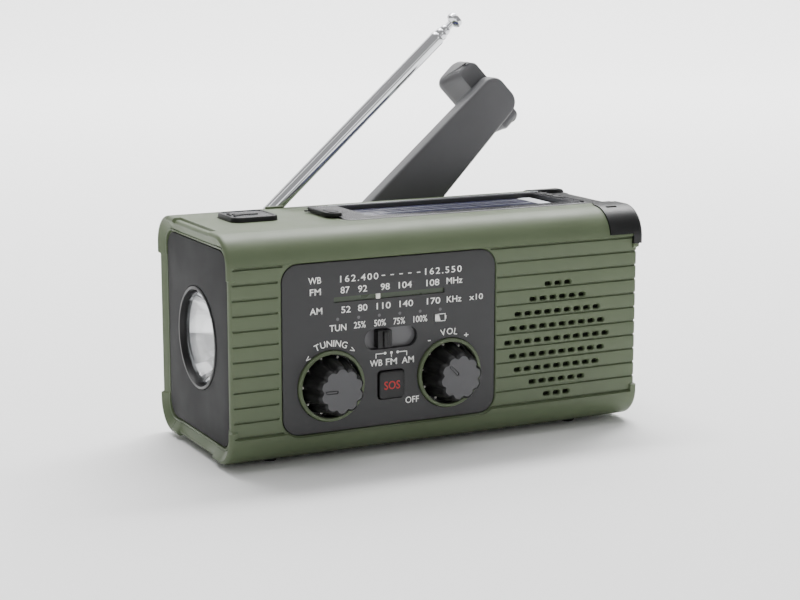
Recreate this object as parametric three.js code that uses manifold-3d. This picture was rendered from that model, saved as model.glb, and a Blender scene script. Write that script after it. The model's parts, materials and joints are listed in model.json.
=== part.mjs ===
// Emergency radio with a hand crank, a solar lid, a torch and a telescopic antenna.
// Millimetres, +Z up, +X towards the lid's hinge, -Y is the side with the knobs.
import * as THREE from 'three';
import { mergeVertices } from 'three/addons/utils/BufferGeometryUtils.js';
import Module from 'manifold-3d';

const wasm = await Module();
wasm.setup();

// Driving dimensions of the case
const length = 160;
const depth = 68;
const height = 78;
const footHeight = 1.6;
const cornerRadius = 10.8;
const bandStep = 0.8;           // how far the ribbed faces stand back from the corner bands
const wall = 2.4;
const gap = 0.3;                // between pieces that touch
const halfLength = length / 2;
const halfDepth = depth / 2;
const topZ = footHeight + height;
const ribbedY = halfDepth - bandStep;
const bandLowZ = 11.8;          // the ribbed zone lies between the two bands
const bandHighZ = 69.4;
const rimWidth = 3;             // raised rim at each end
const rimLowZ = 14.5;
const rimHighZ = 65.2;
const rimHalfY = 17;
const rimBevelInset = 5.2;
const rimBevelDepth = 2.2;
const splitY = 22.8;            // parting plane between the main shell and the rear cover

// Grooves and speaker slots
const grooveCount = 12;
const grooveFirstZ = 12.36;
const groovePitch = 5.134;
const grooveHeight = 0.9;
const grooveDepth = 0.55;
const slotPitch = 4.1;
const slotLength = 2.4;
const slotHeight = 1.3;
const slotRows = [3, 6, 9, 10, 11, 10, 9, 6, 3];
const speakerX = 45.5;
const speakerZ = 35.3;

// Front panel and its controls
const panelLedge = 1.5;         // the shell's ledge that the panel's edge rests on
const panel = { left: -60.5, right: 20.2, low: 10.8, high: 69, radius: 6, face: -33 };
const tuning = { x: -42.87, z: 26.64 };
const volume = { x: 2.09, z: 26.64 };
const ringRadius = 12;
const knobBaseRadius = 10.5;
const knobFaceRadius = 8.1;
const knobFaceY = -42;
const knobLobes = 10;
const dial = { left: -41.7, right: 0.3, z: 55.9, height: 1.9, pointerX: -25.05 };
const bandSlot = { left: -30.3, right: -10.3, low: 37.4, high: 44.7, sliderX: -23.15 };
const sos = { x: -20.4, z: 24.85, size: 9.6 };
const lightButton = { x: -57, y: 4.6, width: 17.2, depth: 17.6, top: 81.3 };

// Torch in the left end
const torchZ = 40.3;
const torchRadius = 18.1;
const torchMouth = 16;
const torchMouthX = -74.9;

// Sockets in the right end, and the rubber flap over them
const usb = { y0: -9, y1: 4, z0: 34.5, z1: 41 };
const charge = { y0: 6, y1: 14, z0: 36, z1: 39.6 };
const flap = { x: 79.1, z: 31.2, low: 30.6, high: 44.6, y0: -12, y1: 16.5 };

// Screw posts that hold the rear cover on
const post = { x: 64, z: 6.6, radius: 3.4 };

// Solar lid and its hinge at the right end
const lid = { left: -28.4, right: 70.2, front: -16, back: 20.5, low: 76.3, top: 79.8 };
const cell = { left: -16.8, right: 64.5, front: -9.5, back: 18, floor: 77.4 };
const tab = { left: -32.6, right: -27, front: -9.5, back: 10.5, top: 82 };
const hinge = { x: 70.2, z: 77.4, radius: 2.1, pin: 0.9 };
const barrel = { from: -11, to: 15.5 };
const saddleLeft = 67.1;
const saddleLowZ = 70.4;
const saddleRimLowZ = 66.7;

// Antenna: swings about Y in a trough along the top rear edge
const antenna = { x: -42.2, y: 28, z: 74.8, tilt: 41.68 };
const troughHalf = 3.4;
const troughLeft = -48.5;
const troughRight = 65.8;
const antennaTubes = [
  { outer: 2.7, inner: 2.5, from: 3.6, to: 96.4 },
  { outer: 2.3, inner: 2.1, from: 12, to: 98.9 },
  { outer: 1.9, inner: 1.7, from: 13.5, to: 101.1 },
];
const antennaRod = { radius: 1.35, from: 15, to: 104.3 };
const antennaTip = { radius: 3, end: 106.8 };

// Crank on the back and the gear train inside
const crank = { x: 4.9, z: 61.5, tilt: 43.9, length: 82.4, near: 35.5, far: 42 };
const crankHubRadius = 12;
const crankEndHalf = 8.5;
const grip = { along: 74.3, halfWidth: 15.7, front: 42.4, back: 57 };
const gearModule = 0.8;
const driveTeeth = 26;
const smallTeeth = 12;
const bigTeeth = 30;
const rotorTeeth = 10;
const gearClearance = 0.15;
const stageOneAngle = -50;
const stageTwoAngle = -100;

// Materials
function material(color, roughness, metalness = 0, extra = {}) {
  return new THREE.MeshStandardMaterial({ color, roughness, metalness, ...extra });
}

const finishes = {
  green: () => material('#66735a', 0.55),
  darkGrey: () => material('#4b4b4d', 0.5),
  black: () => material('#1d1d1f', 0.5),
  knobGrey: () => material('#3a3a3c', 0.45),
  chrome: () => material('#d9dbde', 0.12, 1),
  steel: () => material('#a9abae', 0.35, 1),
  brass: () => material('#b8954e', 0.35, 1),
  white: () => material('#f2f2ee', 0.5),
  cream: () => material('#d8d4c4', 0.6),
  board: () => material('#2f6b45', 0.6),
  solar: () => material('#23264a', 0.2),
  clear: () => material('#e8f0f2', 0.05, 0, { transparent: true, opacity: 0.3 }),
  rubber: () => material('#242424', 0.85),
  blue: () => material('#3766a8', 0.5),
  copper: () => material('#b06a3c', 0.4, 1),
  paper: () => material('#2b2b2d', 0.9),
};

// Turns a closed three.js geometry into a solid that can be joined and cut
function solid(geometry) {
  const bare = geometry.clone();
  for (const name of Object.keys(bare.attributes)) {
    if (name !== 'position') bare.deleteAttribute(name);
  }
  const merged = mergeVertices(bare, 1e-4);
  const vertProperties = new Float32Array(merged.attributes.position.array);
  let triVerts = Uint32Array.from(merged.index.array);
  triVerts = withoutSlivers(triVerts);
  if (signedVolume(vertProperties, triVerts) < 0) triVerts = flipped(triVerts);
  return new wasm.Manifold(new wasm.Mesh({ numProp: 3, vertProperties, triVerts }));
}

function withoutSlivers(triangles) {
  const kept = [];
  for (let i = 0; i < triangles.length; i += 3) {
    const [a, b, c] = [triangles[i], triangles[i + 1], triangles[i + 2]];
    if (a !== b && b !== c && a !== c) kept.push(a, b, c);
  }
  return Uint32Array.from(kept);
}

function flipped(triangles) {
  const turned = Uint32Array.from(triangles);
  for (let i = 0; i < turned.length; i += 3) {
    const keep = turned[i];
    turned[i] = turned[i + 1];
    turned[i + 1] = keep;
  }
  return turned;
}

function signedVolume(points, triangles) {
  let total = 0;
  const at = (i) => new THREE.Vector3(points[3 * i], points[3 * i + 1], points[3 * i + 2]);
  for (let i = 0; i < triangles.length; i += 3) {
    const side = at(triangles[i + 1]).cross(at(triangles[i + 2]));
    total += at(triangles[i]).dot(side);
  }
  return total;
}

function joined(first, ...rest) {
  return rest.reduce((sum, piece) => sum.add(piece), first);
}

function cut(first, ...rest) {
  return rest.reduce((left, piece) => left.subtract(piece), first);
}

// Basic solids
function block(x0, x1, y0, y1, z0, z1) {
  const geometry = new THREE.BoxGeometry(x1 - x0, y1 - y0, z1 - z0);
  geometry.translate((x0 + x1) / 2, (y0 + y1) / 2, (z0 + z1) / 2);
  return solid(geometry);
}

function roundedRect(u0, u1, v0, v1, radius) {
  const shape = new THREE.Shape();
  shape.moveTo(u0 + radius, v0);
  shape.lineTo(u1 - radius, v0);
  shape.absarc(u1 - radius, v0 + radius, radius, -Math.PI / 2, 0);
  shape.lineTo(u1, v1 - radius);
  shape.absarc(u1 - radius, v1 - radius, radius, 0, Math.PI / 2);
  shape.lineTo(u0 + radius, v1);
  shape.absarc(u0 + radius, v1 - radius, radius, Math.PI / 2, Math.PI);
  shape.lineTo(u0, v0 + radius);
  shape.absarc(u0 + radius, v0 + radius, radius, Math.PI, Math.PI * 1.5);
  return shape;
}

function extruded(shape, distance, segments = 6, bevel = null) {
  const options = { depth: distance, curveSegments: segments, bevelEnabled: false };
  if (bevel) {
    options.bevelEnabled = true;
    options.bevelSize = bevel.size;
    options.bevelThickness = bevel.thickness;
    options.bevelOffset = bevel.offset || 0;
    options.bevelSegments = 1;
  }
  return new THREE.ExtrudeGeometry(shape, options);
}

// A shape drawn in X and Z, standing from y0 to y1
function plateY(shape, y0, y1, segments) {
  const geometry = extruded(shape, y1 - y0, segments);
  geometry.rotateX(Math.PI / 2);
  geometry.translate(0, y1, 0);
  return solid(geometry);
}

const sideways = new THREE.Matrix4().set(0, 0, 1, 0, 1, 0, 0, 0, 0, 1, 0, 0, 0, 0, 0, 1);

// A shape drawn in Y and Z, standing from x0 to x1
function plateX(shape, x0, x1, segments) {
  const geometry = extruded(shape, x1 - x0, segments);
  geometry.applyMatrix4(sideways);
  geometry.translate(x0, 0, 0);
  return solid(geometry);
}

function plateZ(shape, z0, z1, segments) {
  const geometry = extruded(shape, z1 - z0, segments);
  geometry.translate(0, 0, z0);
  return solid(geometry);
}

function rodY(radius, x, z, y0, y1, sides = 20) {
  const geometry = new THREE.CylinderGeometry(radius, radius, y1 - y0, sides);
  geometry.translate(x, (y0 + y1) / 2, z);
  return solid(geometry);
}

function rodX(radius, y, z, x0, x1, sides = 20) {
  const geometry = new THREE.CylinderGeometry(radius, radius, x1 - x0, sides);
  geometry.rotateZ(-Math.PI / 2);
  geometry.translate((x0 + x1) / 2, y, z);
  return solid(geometry);
}

// A profile of [radius, y] points turned about an axis along Y
function turnedY(profile, x, z, sides = 28) {
  const points = profile.map(([r, y]) => new THREE.Vector2(r, y));
  const geometry = new THREE.LatheGeometry(points, sides);
  geometry.translate(x, 0, z);
  return solid(geometry);
}

// A profile of [radius, x] points turned about an axis along X
function turnedX(profile, y, z, sides = 32) {
  const points = profile.map(([r, x]) => new THREE.Vector2(r, x));
  const geometry = new THREE.LatheGeometry(points, sides);
  geometry.rotateZ(-Math.PI / 2);
  geometry.translate(0, y, z);
  return solid(geometry);
}

// Turns a solid about an axis along Y through (x, z); positive lifts +X towards +Z
function tilted(piece, x, z, degrees) {
  const moved = piece.translate([-x, 0, -z]).rotate([0, -degrees, 0]);
  return moved.translate([x, 0, z]);
}

// Case: outline across the length, and the whole outside before it is split
function caseOutline(inset) {
  const half = halfDepth - inset;
  return roundedRect(-half, half, footHeight + inset, topZ - inset, cornerRadius - inset * 0.8);
}

function endBevel(side) {
  const shape = caseOutline(rimBevelInset);
  const bevel = { size: 4, thickness: rimBevelDepth };
  const geometry = extruded(shape, 1, 6, bevel);
  geometry.applyMatrix4(sideways);
  geometry.translate(rimBevelDepth, 0, 0);
  const floorX = halfLength - rimBevelDepth;
  if (side > 0) geometry.translate(floorX, 0, 0);
  else geometry.translate(-floorX - 1 - 2 * rimBevelDepth, 0, 0);
  return solid(geometry);
}

function caseOutside() {
  let outside = plateX(caseOutline(0), -halfLength, halfLength);
  const inner = halfLength - rimWidth;
  for (const side of [-1, 1]) {
    const y0 = side > 0 ? ribbedY : -halfDepth - 1;
    const y1 = side > 0 ? halfDepth + 1 : -ribbedY;
    outside = cut(outside, block(-inner, inner, y0, y1, bandLowZ, bandHighZ));
    outside = cut(outside, block(-halfLength - 1, halfLength + 1, y0, y1, rimLowZ, rimHighZ));
  }
  for (const side of [-1, 1]) {
    const x0 = side > 0 ? inner : -halfLength - 1;
    const x1 = side > 0 ? halfLength + 1 : -inner;
    outside = cut(
      outside,
      block(x0, x1, -rimHalfY, rimHalfY, topZ - bandStep, topZ + 1),
      block(x0, x1, -rimHalfY, rimHalfY, 0, footHeight + bandStep),
    );
    const e0 = side > 0 ? halfLength - bandStep : -halfLength - 1;
    const e1 = side > 0 ? halfLength + 1 : -halfLength + bandStep;
    outside = cut(
      outside,
      block(e0, e1, -halfDepth - 1, halfDepth + 1, rimLowZ, rimHighZ),
      block(e0, e1, -rimHalfY, rimHalfY, 0, topZ + 1),
      endBevel(side),
    );
  }
  return cut(outside, ...grooves());
}

function grooves() {
  const cuts = [];
  const rimX = halfLength - rimWidth + 0.5;
  for (let i = 0; i < grooveCount; i += 1) {
    const z0 = grooveFirstZ + i * groovePitch - grooveHeight / 2;
    const z1 = z0 + grooveHeight;
    const y = ribbedY - grooveDepth;
    cuts.push(block(-rimX, panel.left - 1.6, -halfDepth, -y, z0, z1));
    cuts.push(block(panel.right + 0.7, rimX, -halfDepth, -y, z0, z1));
    cuts.push(block(-rimX, rimX, y, halfDepth, z0, z1));
  }
  return cuts;
}

function speakerSlots() {
  const cuts = [];
  slotRows.forEach((count, row) => {
    const z = grooveFirstZ + (row + 0.5) * groovePitch + 0.25;
    for (let i = 0; i < count; i += 1) {
      const x = speakerX + (i - (count - 1) / 2) * slotPitch;
      const half = slotLength / 2;
      cuts.push(block(x - half, x + half, -halfDepth, -28, z - slotHeight / 2, z + slotHeight / 2));
    }
  });
  return cuts;
}

// Room for the dark saddle that wraps over the right end
function saddleRecess() {
  const around = plateX(caseOutline(-1), saddleLeft - gap, halfLength + 1);
  const inside = plateX(caseOutline(wall + 0.2), saddleLeft - gap - 1, halfLength + 2);
  const ring = cut(around, inside);
  const high = block(0, 100, -50, 50, saddleLowZ - gap, 100);
  const rim = block(halfLength - rimWidth - gap, 100, -50, 50, saddleRimLowZ - gap, 100);
  return ring.intersect(joined(high, rim));
}

function caseBody() {
  const innerX = halfLength - rimBevelDepth - 2;
  let body = cut(caseOutside(), plateX(caseOutline(wall), -innerX, innerX));
  const lining = cut(
    plateX(caseOutline(1.6), saddleLeft - 2.6, innerX + 0.6),
    plateX(caseOutline(4.4), saddleLeft - 3, innerX + 1),
  );
  body = joined(body, lining.intersect(block(0, 100, -50, 50, 64.5, 100)));
  const tray = block(lid.left - 2.2, 74, lid.front - 2, splitY - 0.4, 73.2, topZ - 1);
  const trough = block(troughLeft - 1.8, 66.6, splitY - 3, halfDepth, 69.6, topZ - 0.5);
  const troughPart = trough.intersect(plateX(caseOutline(0.4), -halfLength, halfLength));
  body = joined(body, tray, troughPart.intersect(block(-100, 100, splitY, 50, 0, 100)));
  for (const side of [-1, 1]) {
    body = cut(body, plateX(caseOutline(rimBevelInset + 0.2), side * 79 - 5, side * 79 + 5));
  }
  return body;
}

function troughCut() {
  const y0 = antenna.y - troughHalf;
  const y1 = antenna.y + troughHalf;
  return block(troughLeft, troughRight, y0, y1, antenna.z - troughHalf, topZ + 2);
}

function mainShell(body) {
  let shell = body.intersect(block(-100, 100, -50, splitY - gap / 2, 0, 100));
  for (const side of [-1, 1]) {
    shell = joined(shell, rodY(post.radius, side * post.x, post.z, 6, splitY - gap / 2, 12));
  }
  for (const side of [-1, 1]) shell = cut(shell, rodY(1.7, side * post.x, post.z, 8, 30, 8));
  const lidHole = roundedRect(lid.left - gap, 90, lid.front - gap, lid.back + gap, 3);
  const buttonHole = roundedRect(
    lightButton.x - lightButton.width / 2 - gap, lightButton.x + lightButton.width / 2 + gap,
    lightButton.y - lightButton.depth / 2 - gap, lightButton.y + lightButton.depth / 2 + gap, 3.6,
  );
  const lidRoom = plateZ(lidHole, 74.6, 90, 3).intersect(block(-40, 73.3, -50, 50, 70, 90));
  return cut(
    shell,
    plateY(panelShape(gap), -40, panel.face + 0.8, 5),
    plateY(panelShape(-panelLedge), -40, -29, 5),
    lidRoom,
    plateZ(buttonHole, 75, 90, 3),
    saddleRecess(),
    block(73.2, 90, lid.front - gap, lid.back + gap, 75.6, 90),
    ...speakerSlots(),
  );
}

function rearCover(body) {
  let cover = body.intersect(block(-100, 100, splitY + gap / 2, 50, 0, 100));
  for (const side of [-1, 1]) {
    cover = joined(cover, rodY(post.radius, side * post.x, post.z, splitY + gap / 2, 32.5, 12));
  }
  for (const side of [-1, 1]) {
    cover = cut(cover, rodY(1.7, side * post.x, post.z, 20, 40, 8));
    cover = cut(cover, rodY(3.1, side * post.x, post.z, 31.2, 40, 12));
  }
  const pivotBore = rodY(1.45, antenna.x, antenna.z, 23.9, 33, 10);
  return cut(
    cover,
    troughCut(),
    saddleRecess(),
    pivotBore,
    rodY(4.8, crank.x, crank.z, 20, 40, 20),
  );
}

function panelShape(grow) {
  return roundedRect(
    panel.left - grow, panel.right + grow, panel.low - grow, panel.high + grow, panel.radius + grow,
  );
}

function frontPanel() {
  let plate = joined(
    plateY(panelShape(0), panel.face, panel.face + 0.5, 5),
    plateY(panelShape(-panelLedge - gap), panel.face, -30.2, 5),
  );
  const dialHalf = dial.height / 2;
  const bandMiddle = (bandSlot.high - bandSlot.low) / 2;
  const switchHole = roundedRect(
    bandSlot.left, bandSlot.right, bandSlot.low, bandSlot.high, bandMiddle - 0.01,
  );
  const sosHole = sos.size / 2 + gap;
  plate = cut(
    plate,
    rodY(ringRadius + gap, tuning.x, tuning.z, -40, -20, 24),
    rodY(ringRadius + gap, volume.x, volume.z, -40, -20, 24),
    block(dial.left, dial.right, -40, -20, dial.z - dialHalf, dial.z + dialHalf),
    plateY(switchHole, -40, -20, 5),
    block(sos.x - sosHole, sos.x + sosHole, -40, -20, sos.z - sosHole, sos.z + sosHole),
  );
  return plate;
}

function endPanel(side) {
  const outer = side * (halfLength - rimBevelDepth + 0.2);
  const inner = side * 74.3;
  const flange = side * 75.5;
  const plate = plateX(caseOutline(rimBevelInset + 0.5), Math.min(outer, inner), Math.max(outer, inner));
  const lip = plateX(caseOutline(rimBevelInset - 0.4), Math.min(inner, flange), Math.max(inner, flange));
  return joined(plate, lip);
}

function rightEndPanel() {
  return cut(
    endPanel(1),
    block(60, 90, usb.y0 - gap, usb.y1 + gap, usb.z0 - gap, usb.z1 + gap),
    block(60, 90, charge.y0 - gap, charge.y1 + gap, charge.z0 - gap, charge.z1 + gap),
  );
}

function portBlock() {
  const base = block(62, 67, usb.y0 - 2, charge.y1 + 2, usb.z0 - 2, usb.z1 + 2);
  const usbBody = block(66.5, 77.7, usb.y0, usb.y1, usb.z0, usb.z1);
  const chargeBody = block(66.5, 77.7, charge.y0, charge.y1, charge.z0, charge.z1);
  return cut(
    joined(base, usbBody, chargeBody),
    block(75.7, 80, usb.y0 + 0.6, usb.y1 - 0.6, usb.z0 + 0.7, usb.z1 - 0.7),
    block(75.7, 80, charge.y0 + 0.6, charge.y1 - 0.6, charge.z0 + 0.6, charge.z1 - 0.6),
  );
}

function portCover() {
  const shape = roundedRect(flap.y0, flap.y1, flap.low, flap.high, 0.7);
  return plateX(shape, flap.x - 0.8, flap.x + 0.8, 2);
}

// Torch parts, turned about X
function torchBezel() {
  const outer = torchRadius - gap;
  const inner = torchMouth + 0.6;
  return turnedX([[inner, -78.4], [outer - 0.4, -78.4], [outer, -78], [outer, -73.4],
    [inner, -73.4], [inner, -78.4]], 0, torchZ, 28);
}

function torchReflector() {
  const steps = 6;
  const mouth = torchMouth;
  const throat = 3.2;
  const deep = 14;
  const outer = [];
  const inner = [];
  for (let i = 0; i <= steps; i += 1) {
    const t = i / steps;
    const radius = mouth + (throat - mouth) * t;
    const x = torchMouthX + deep * Math.pow(1 - Math.pow(radius / mouth, 2), 0.9);
    inner.push([radius, x]);
    outer.push([radius + 0.15, x + 1.2]);
  }
  outer.reverse();
  return turnedX([...inner, ...outer, inner[0]], 0, torchZ, 20);
}

function torchLed() {
  const board = rodX(8, 0, torchZ, -59.2, -57.8, 16);
  const dome = turnedX([[0, -62.6], [1.7, -62], [2.5, -60.4], [2.5, -59], [0, -59]], 0, torchZ, 12);
  return joined(board, dome);
}

// Knobs: a lobed outline, tapered from the skirt to the face
function lobedOutline(radius, waves, dip) {
  const shape = new THREE.Shape();
  const perLobe = 6;
  const total = waves * perLobe;
  for (let i = 0; i < total; i += 1) {
    const angle = (i / total) * Math.PI * 2;
    const r = radius - dip * Math.pow(0.5 - 0.5 * Math.cos(angle * waves), 3);
    const point = [r * Math.cos(angle), r * Math.sin(angle)];
    if (i === 0) shape.moveTo(...point);
    else shape.lineTo(...point);
  }
  return shape;
}

function knob(center, markAngle) {
  const base = -30.6;
  const geometry = extruded(lobedOutline(knobBaseRadius, knobLobes, 1.1), base - knobFaceY, 1);
  geometry.rotateX(Math.PI / 2);
  geometry.translate(0, base, 0);
  const position = geometry.attributes.position;
  for (let i = 0; i < position.count; i += 1) {
    const t = (base - position.getY(i)) / (base - knobFaceY);
    const scale = 1 + (knobFaceRadius / knobBaseRadius - 1) * t;
    position.setX(i, position.getX(i) * scale);
    position.setZ(i, position.getZ(i) * scale);
  }
  let body = solid(geometry);
  let mark = block(1.2, 6.3, knobFaceY - 1, knobFaceY + 0.5, -0.6, 0.6);
  mark = mark.rotate([0, -markAngle, 0]);
  body = cut(body, mark).translate([center.x, 0, center.z]);
  return joined(body, rodY(2.9, center.x, center.z, base - 1, -17, 12));
}

function knobRing(center) {
  return turnedY([[11.1, -34.1], [ringRadius, -34.1], [ringRadius, -29.2], [3.4, -29.2],
    [3.4, -30.2], [11.1, -30.2], [11.1, -34.1]], center.x, center.z, 24);
}

function tuningCapacitor() {
  const box = block(tuning.x - 10, tuning.x + 10, -24.9, -12, tuning.z - 10, tuning.z + 10);
  return cut(box, rodY(3.2, tuning.x, tuning.z, -40, -16.5, 12));
}

function volumeControl() {
  const can = rodY(8.5, volume.x, volume.z, -24.9, -15, 20);
  return cut(can, rodY(3.2, volume.x, volume.z, -40, -16.5, 12));
}

function dialPointer() {
  const halfHigh = dial.height / 2 - 0.2;
  const x = dial.pointerX;
  return joined(
    block(x - 0.85, x + 0.85, -32.7, -28.6, dial.z - halfHigh, dial.z + halfHigh),
    block(x - 3, x + 3, -29.3, -28.3, dial.z - 2.6, dial.z + 2.6),
  );
}

function bandSlider() {
  const x = bandSlot.sliderX;
  return joined(
    block(x - 2.65, x + 2.65, -34.2, -30, bandSlot.low + 0.5, bandSlot.high - 0.5),
    block(x - 3.6, x + 3.6, -30.8, -29.6, bandSlot.low + 0.5, bandSlot.high - 0.5),
  );
}

function sosButton() {
  const half = sos.size / 2;
  const cap = roundedRect(sos.x - half, sos.x + half, sos.z - half, sos.z + half, 1.2);
  const flange = roundedRect(
    sos.x - half - 1, sos.x + half + 1, sos.z - half - 1, sos.z + half + 1, 1.2,
  );
  return joined(plateY(cap, -34, -28.8, 2), plateY(flange, -29.5, -28.6, 2));
}

function lightButtonCap() {
  const { x, y, width, depth: long, top } = lightButton;
  const cap = roundedRect(x - width / 2, x + width / 2, y - long / 2, y + long / 2, 3.4);
  const geometry = extruded(cap, 3.8, 3);
  geometry.translate(0, 0, top - 4.4);
  const rim = roundedRect(
    x - width / 2 + 0.6, x + width / 2 - 0.6, y - long / 2 + 0.6, y + long / 2 - 0.6, 2.9,
  );
  return joined(solid(geometry), plateZ(rim, top - 1, top, 3));
}

function mainBoard() {
  const board = block(-56, 18, -27, -25.4, 12, 67);
  const sosSwitch = block(sos.x - 3, sos.x + 3, -27.6, -26.5, sos.z - 3, sos.z + 3);
  return cut(
    joined(board, sosSwitch),
    rodY(3.4, tuning.x, tuning.z, -40, -20, 12),
    rodY(3.4, volume.x, volume.z, -40, -20, 12),
  );
}

// Speaker, turned about Y
function speakerFrame() {
  return turnedY([[22, -31], [25, -31], [25, -29.7], [24, -29.7], [13.5, -17.2],
    [13.5, -16], [8, -16], [8, -17.2], [12.6, -17.2], [22, -28.6], [22, -31]],
  speakerX, speakerZ, 22);
}

function speakerCone() {
  return turnedY([[21.4, -30.6], [21.4, -29.4], [7, -18.6], [0, -18.6], [0, -19.6], [6.6, -19.6],
    [21.4, -30.6]], speakerX, speakerZ, 18);
}

function batteryCradle() {
  const base = block(-48, 18, -7, 15, 4.4, 9.6);
  return cut(base, rodX(9.4, 4, 14.3, -60, 60, 20));
}

// Hinge saddle at the right end
function hingeSaddle() {
  const ring = cut(
    plateX(caseOutline(0), saddleLeft, halfLength),
    plateX(caseOutline(wall - 0.1), saddleLeft - 1, halfLength + 1),
  );
  const high = block(0, 100, -50, 50, saddleLowZ, 100);
  const rim = block(halfLength - rimWidth, 100, -50, 50, saddleRimLowZ, 100);
  let saddle = ring.intersect(joined(high, rim));
  saddle = cut(
    saddle,
    block(60, 73.5, lid.front - gap, lid.back + gap, 70, 90),
    block(60, 90, lid.front - gap, lid.back + gap, topZ - 1, 90),
    block(halfLength - rimWidth, 90, -rimHalfY, rimHalfY, topZ - bandStep, topZ + 1),
    endBevel(1),
  );
  for (const y0 of [lid.front, 15.8]) {
    const ear = rodY(hinge.radius, hinge.x, hinge.z, y0, y0 + 4.7, 12);
    saddle = joined(saddle, ear, block(hinge.x, 75, y0, y0 + 4.7, 75.9, 78.3));
  }
  const bore = rodY(hinge.pin + 0.25, hinge.x, hinge.z, lid.front - 1, lid.back + 1, 12);
  return cut(saddle, bore);
}

function solarLid() {
  const outline = roundedRect(lid.left, lid.right + 6, lid.front, lid.back, 3);
  const tooFar = block(lid.right, 90, -50, 50, 60, 90);
  let plate = cut(plateZ(outline, lid.low, lid.top, 3), tooFar);
  plate = cut(
    plate,
    block(67.7, 90, -50, barrel.from, 60, 90),
    block(67.7, 90, barrel.to, 50, 60, 90),
    block(cell.left, cell.right, cell.front, cell.back, cell.floor, 90),
  );
  plate = joined(plate, rodY(hinge.radius, hinge.x, hinge.z, barrel.from, barrel.to, 12));
  return cut(plate, rodY(hinge.pin + 0.25, hinge.x, hinge.z, -30, 30, 12));
}

function lidTab() {
  const shape = roundedRect(tab.left, tab.right, tab.front, tab.back, 2);
  return plateZ(shape, lid.top + gap, tab.top, 3);
}

function antennaPiece(geometryList) {
  const piece = joined(...geometryList);
  const lying = piece.translate([antenna.x, antenna.y, antenna.z]);
  return tilted(lying, antenna.x, antenna.z, antenna.tilt);
}

function antennaTube({ outer, inner, from, to }) {
  const sides = 14;
  return antennaPiece([cut(rodX(outer, 0, 0, from, to, sides), rodX(inner, 0, 0, from - 1, to + 1, sides))]);
}

function antennaKnuckle() {
  const eye = rodY(2.8, 0, 0, -2.4, 2.4, 14);
  const neck = block(0, 4.6, -1.5, 1.5, -1.5, 1.5);
  const plug = rodX(2.2, 0, 0, 3.9, 8, 12);
  const piece = cut(joined(eye, neck, plug), rodY(1.5, 0, 0, -5, 5, 10));
  return antennaPiece([piece]);
}

function antennaLast() {
  const { radius, end } = antennaTip;
  const neck = antennaRod.to;
  const cap = turnedX([[0, neck - 0.8], [1.6, neck - 0.8], [radius - 0.5, neck - 0.1],
    [radius, neck + 0.7], [radius, end - 0.7], [radius - 0.6, end], [0, end]], 0, 0, 16);
  return antennaPiece([rodX(antennaRod.radius, 0, 0, antennaRod.from, neck, 10), cap]);
}

// Crank arm: a wide hub that tapers to a squared-off end, drawn along +X and then tilted
function crankArm() {
  const shape = new THREE.Shape();
  const endRadius = 5.5;
  const shoulder = crank.length - endRadius;
  const taper = Math.asin((crankHubRadius - crankEndHalf) / shoulder);
  const top = Math.PI / 2 - taper;
  shape.absarc(0, 0, crankHubRadius, top, Math.PI * 2 - top);
  shape.absarc(shoulder, -crankEndHalf + endRadius, endRadius, -Math.PI / 2, 0);
  shape.absarc(shoulder, crankEndHalf - endRadius, endRadius, 0, Math.PI / 2);
  const geometry = extruded(shape, crank.far - crank.near, 8);
  geometry.rotateX(Math.PI / 2);
  geometry.translate(crank.x, crank.far, crank.z);
  let arm = solid(geometry);
  arm = cut(
    arm,
    rodY(2.7, crank.x, crank.z, 30, 39.6, 14),
    rodY(3.6, crank.x, crank.z, 40.4, 50, 16),
    rodY(1.6, crank.x, crank.z, 30, 50, 10),
    rodY(1.9, crank.x + grip.along, crank.z, 30, 50, 12),
    rodY(3.6, crank.x + grip.along, crank.z, 30, 37, 16),
  );
  return tilted(arm, crank.x, crank.z, crank.tilt);
}

// Grip: a paddle across the arm whose section flares away from it
function crankGrip() {
  const shape = new THREE.Shape();
  const low = 69.4;
  const high = 81.4;
  shape.moveTo(73.2, grip.front);
  shape.lineTo(high, grip.front);
  shape.lineTo(high, grip.back - 4);
  shape.quadraticCurveTo(high - 0.5, grip.back, high - 6, grip.back);
  shape.quadraticCurveTo(low - 2, grip.back, low - 2.3, 52.6);
  shape.quadraticCurveTo(low - 1, 50.2, 73.2, grip.front);
  const bevel = { size: 1.4, thickness: 3, offset: -1.4 };
  const paddle = extruded(shape, 2 * (grip.halfWidth - bevel.thickness), 5, bevel);
  paddle.translate(0, 0, bevel.thickness - grip.halfWidth);
  const placed = solid(paddle).translate([crank.x, 0, crank.z]);
  const bored = cut(placed, rodY(2.2, crank.x + grip.along, crank.z, 40, 52, 12));
  return tilted(bored, crank.x, crank.z, crank.tilt);
}

function gripPin() {
  const pin = joined(
    rodY(1.6, crank.x + grip.along, crank.z, 36, 51.5, 12),
    rodY(3.2, crank.x + grip.along, crank.z, 35.6, 36.7, 14),
  );
  return tilted(pin, crank.x, crank.z, crank.tilt);
}

// Gears: straight-flanked teeth with backlash, phase in degrees of the first tooth
function gearOutline(teeth, phase) {
  const pitchRadius = (gearModule * teeth) / 2;
  const tip = pitchRadius + gearModule * 0.85;
  const root = pitchRadius - gearModule * 1.2;
  const step = (Math.PI * 2) / teeth;
  const shape = new THREE.Shape();
  const corners = [[root, -0.31], [tip, -0.11], [tip, 0.11], [root, 0.31]];
  for (let i = 0; i < teeth; i += 1) {
    const middle = (phase * Math.PI) / 180 + i * step;
    corners.forEach(([radius, share], index) => {
      const angle = middle + share * step;
      const point = [radius * Math.cos(angle), radius * Math.sin(angle)];
      if (i === 0 && index === 0) shape.moveTo(...point);
      else shape.lineTo(...point);
    });
  }
  return shape;
}

function gear(teeth, phase, center, y0, y1) {
  const piece = plateY(gearOutline(teeth, phase), y0, y1, 1);
  return piece.translate([center.x, 0, center.z]);
}

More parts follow.
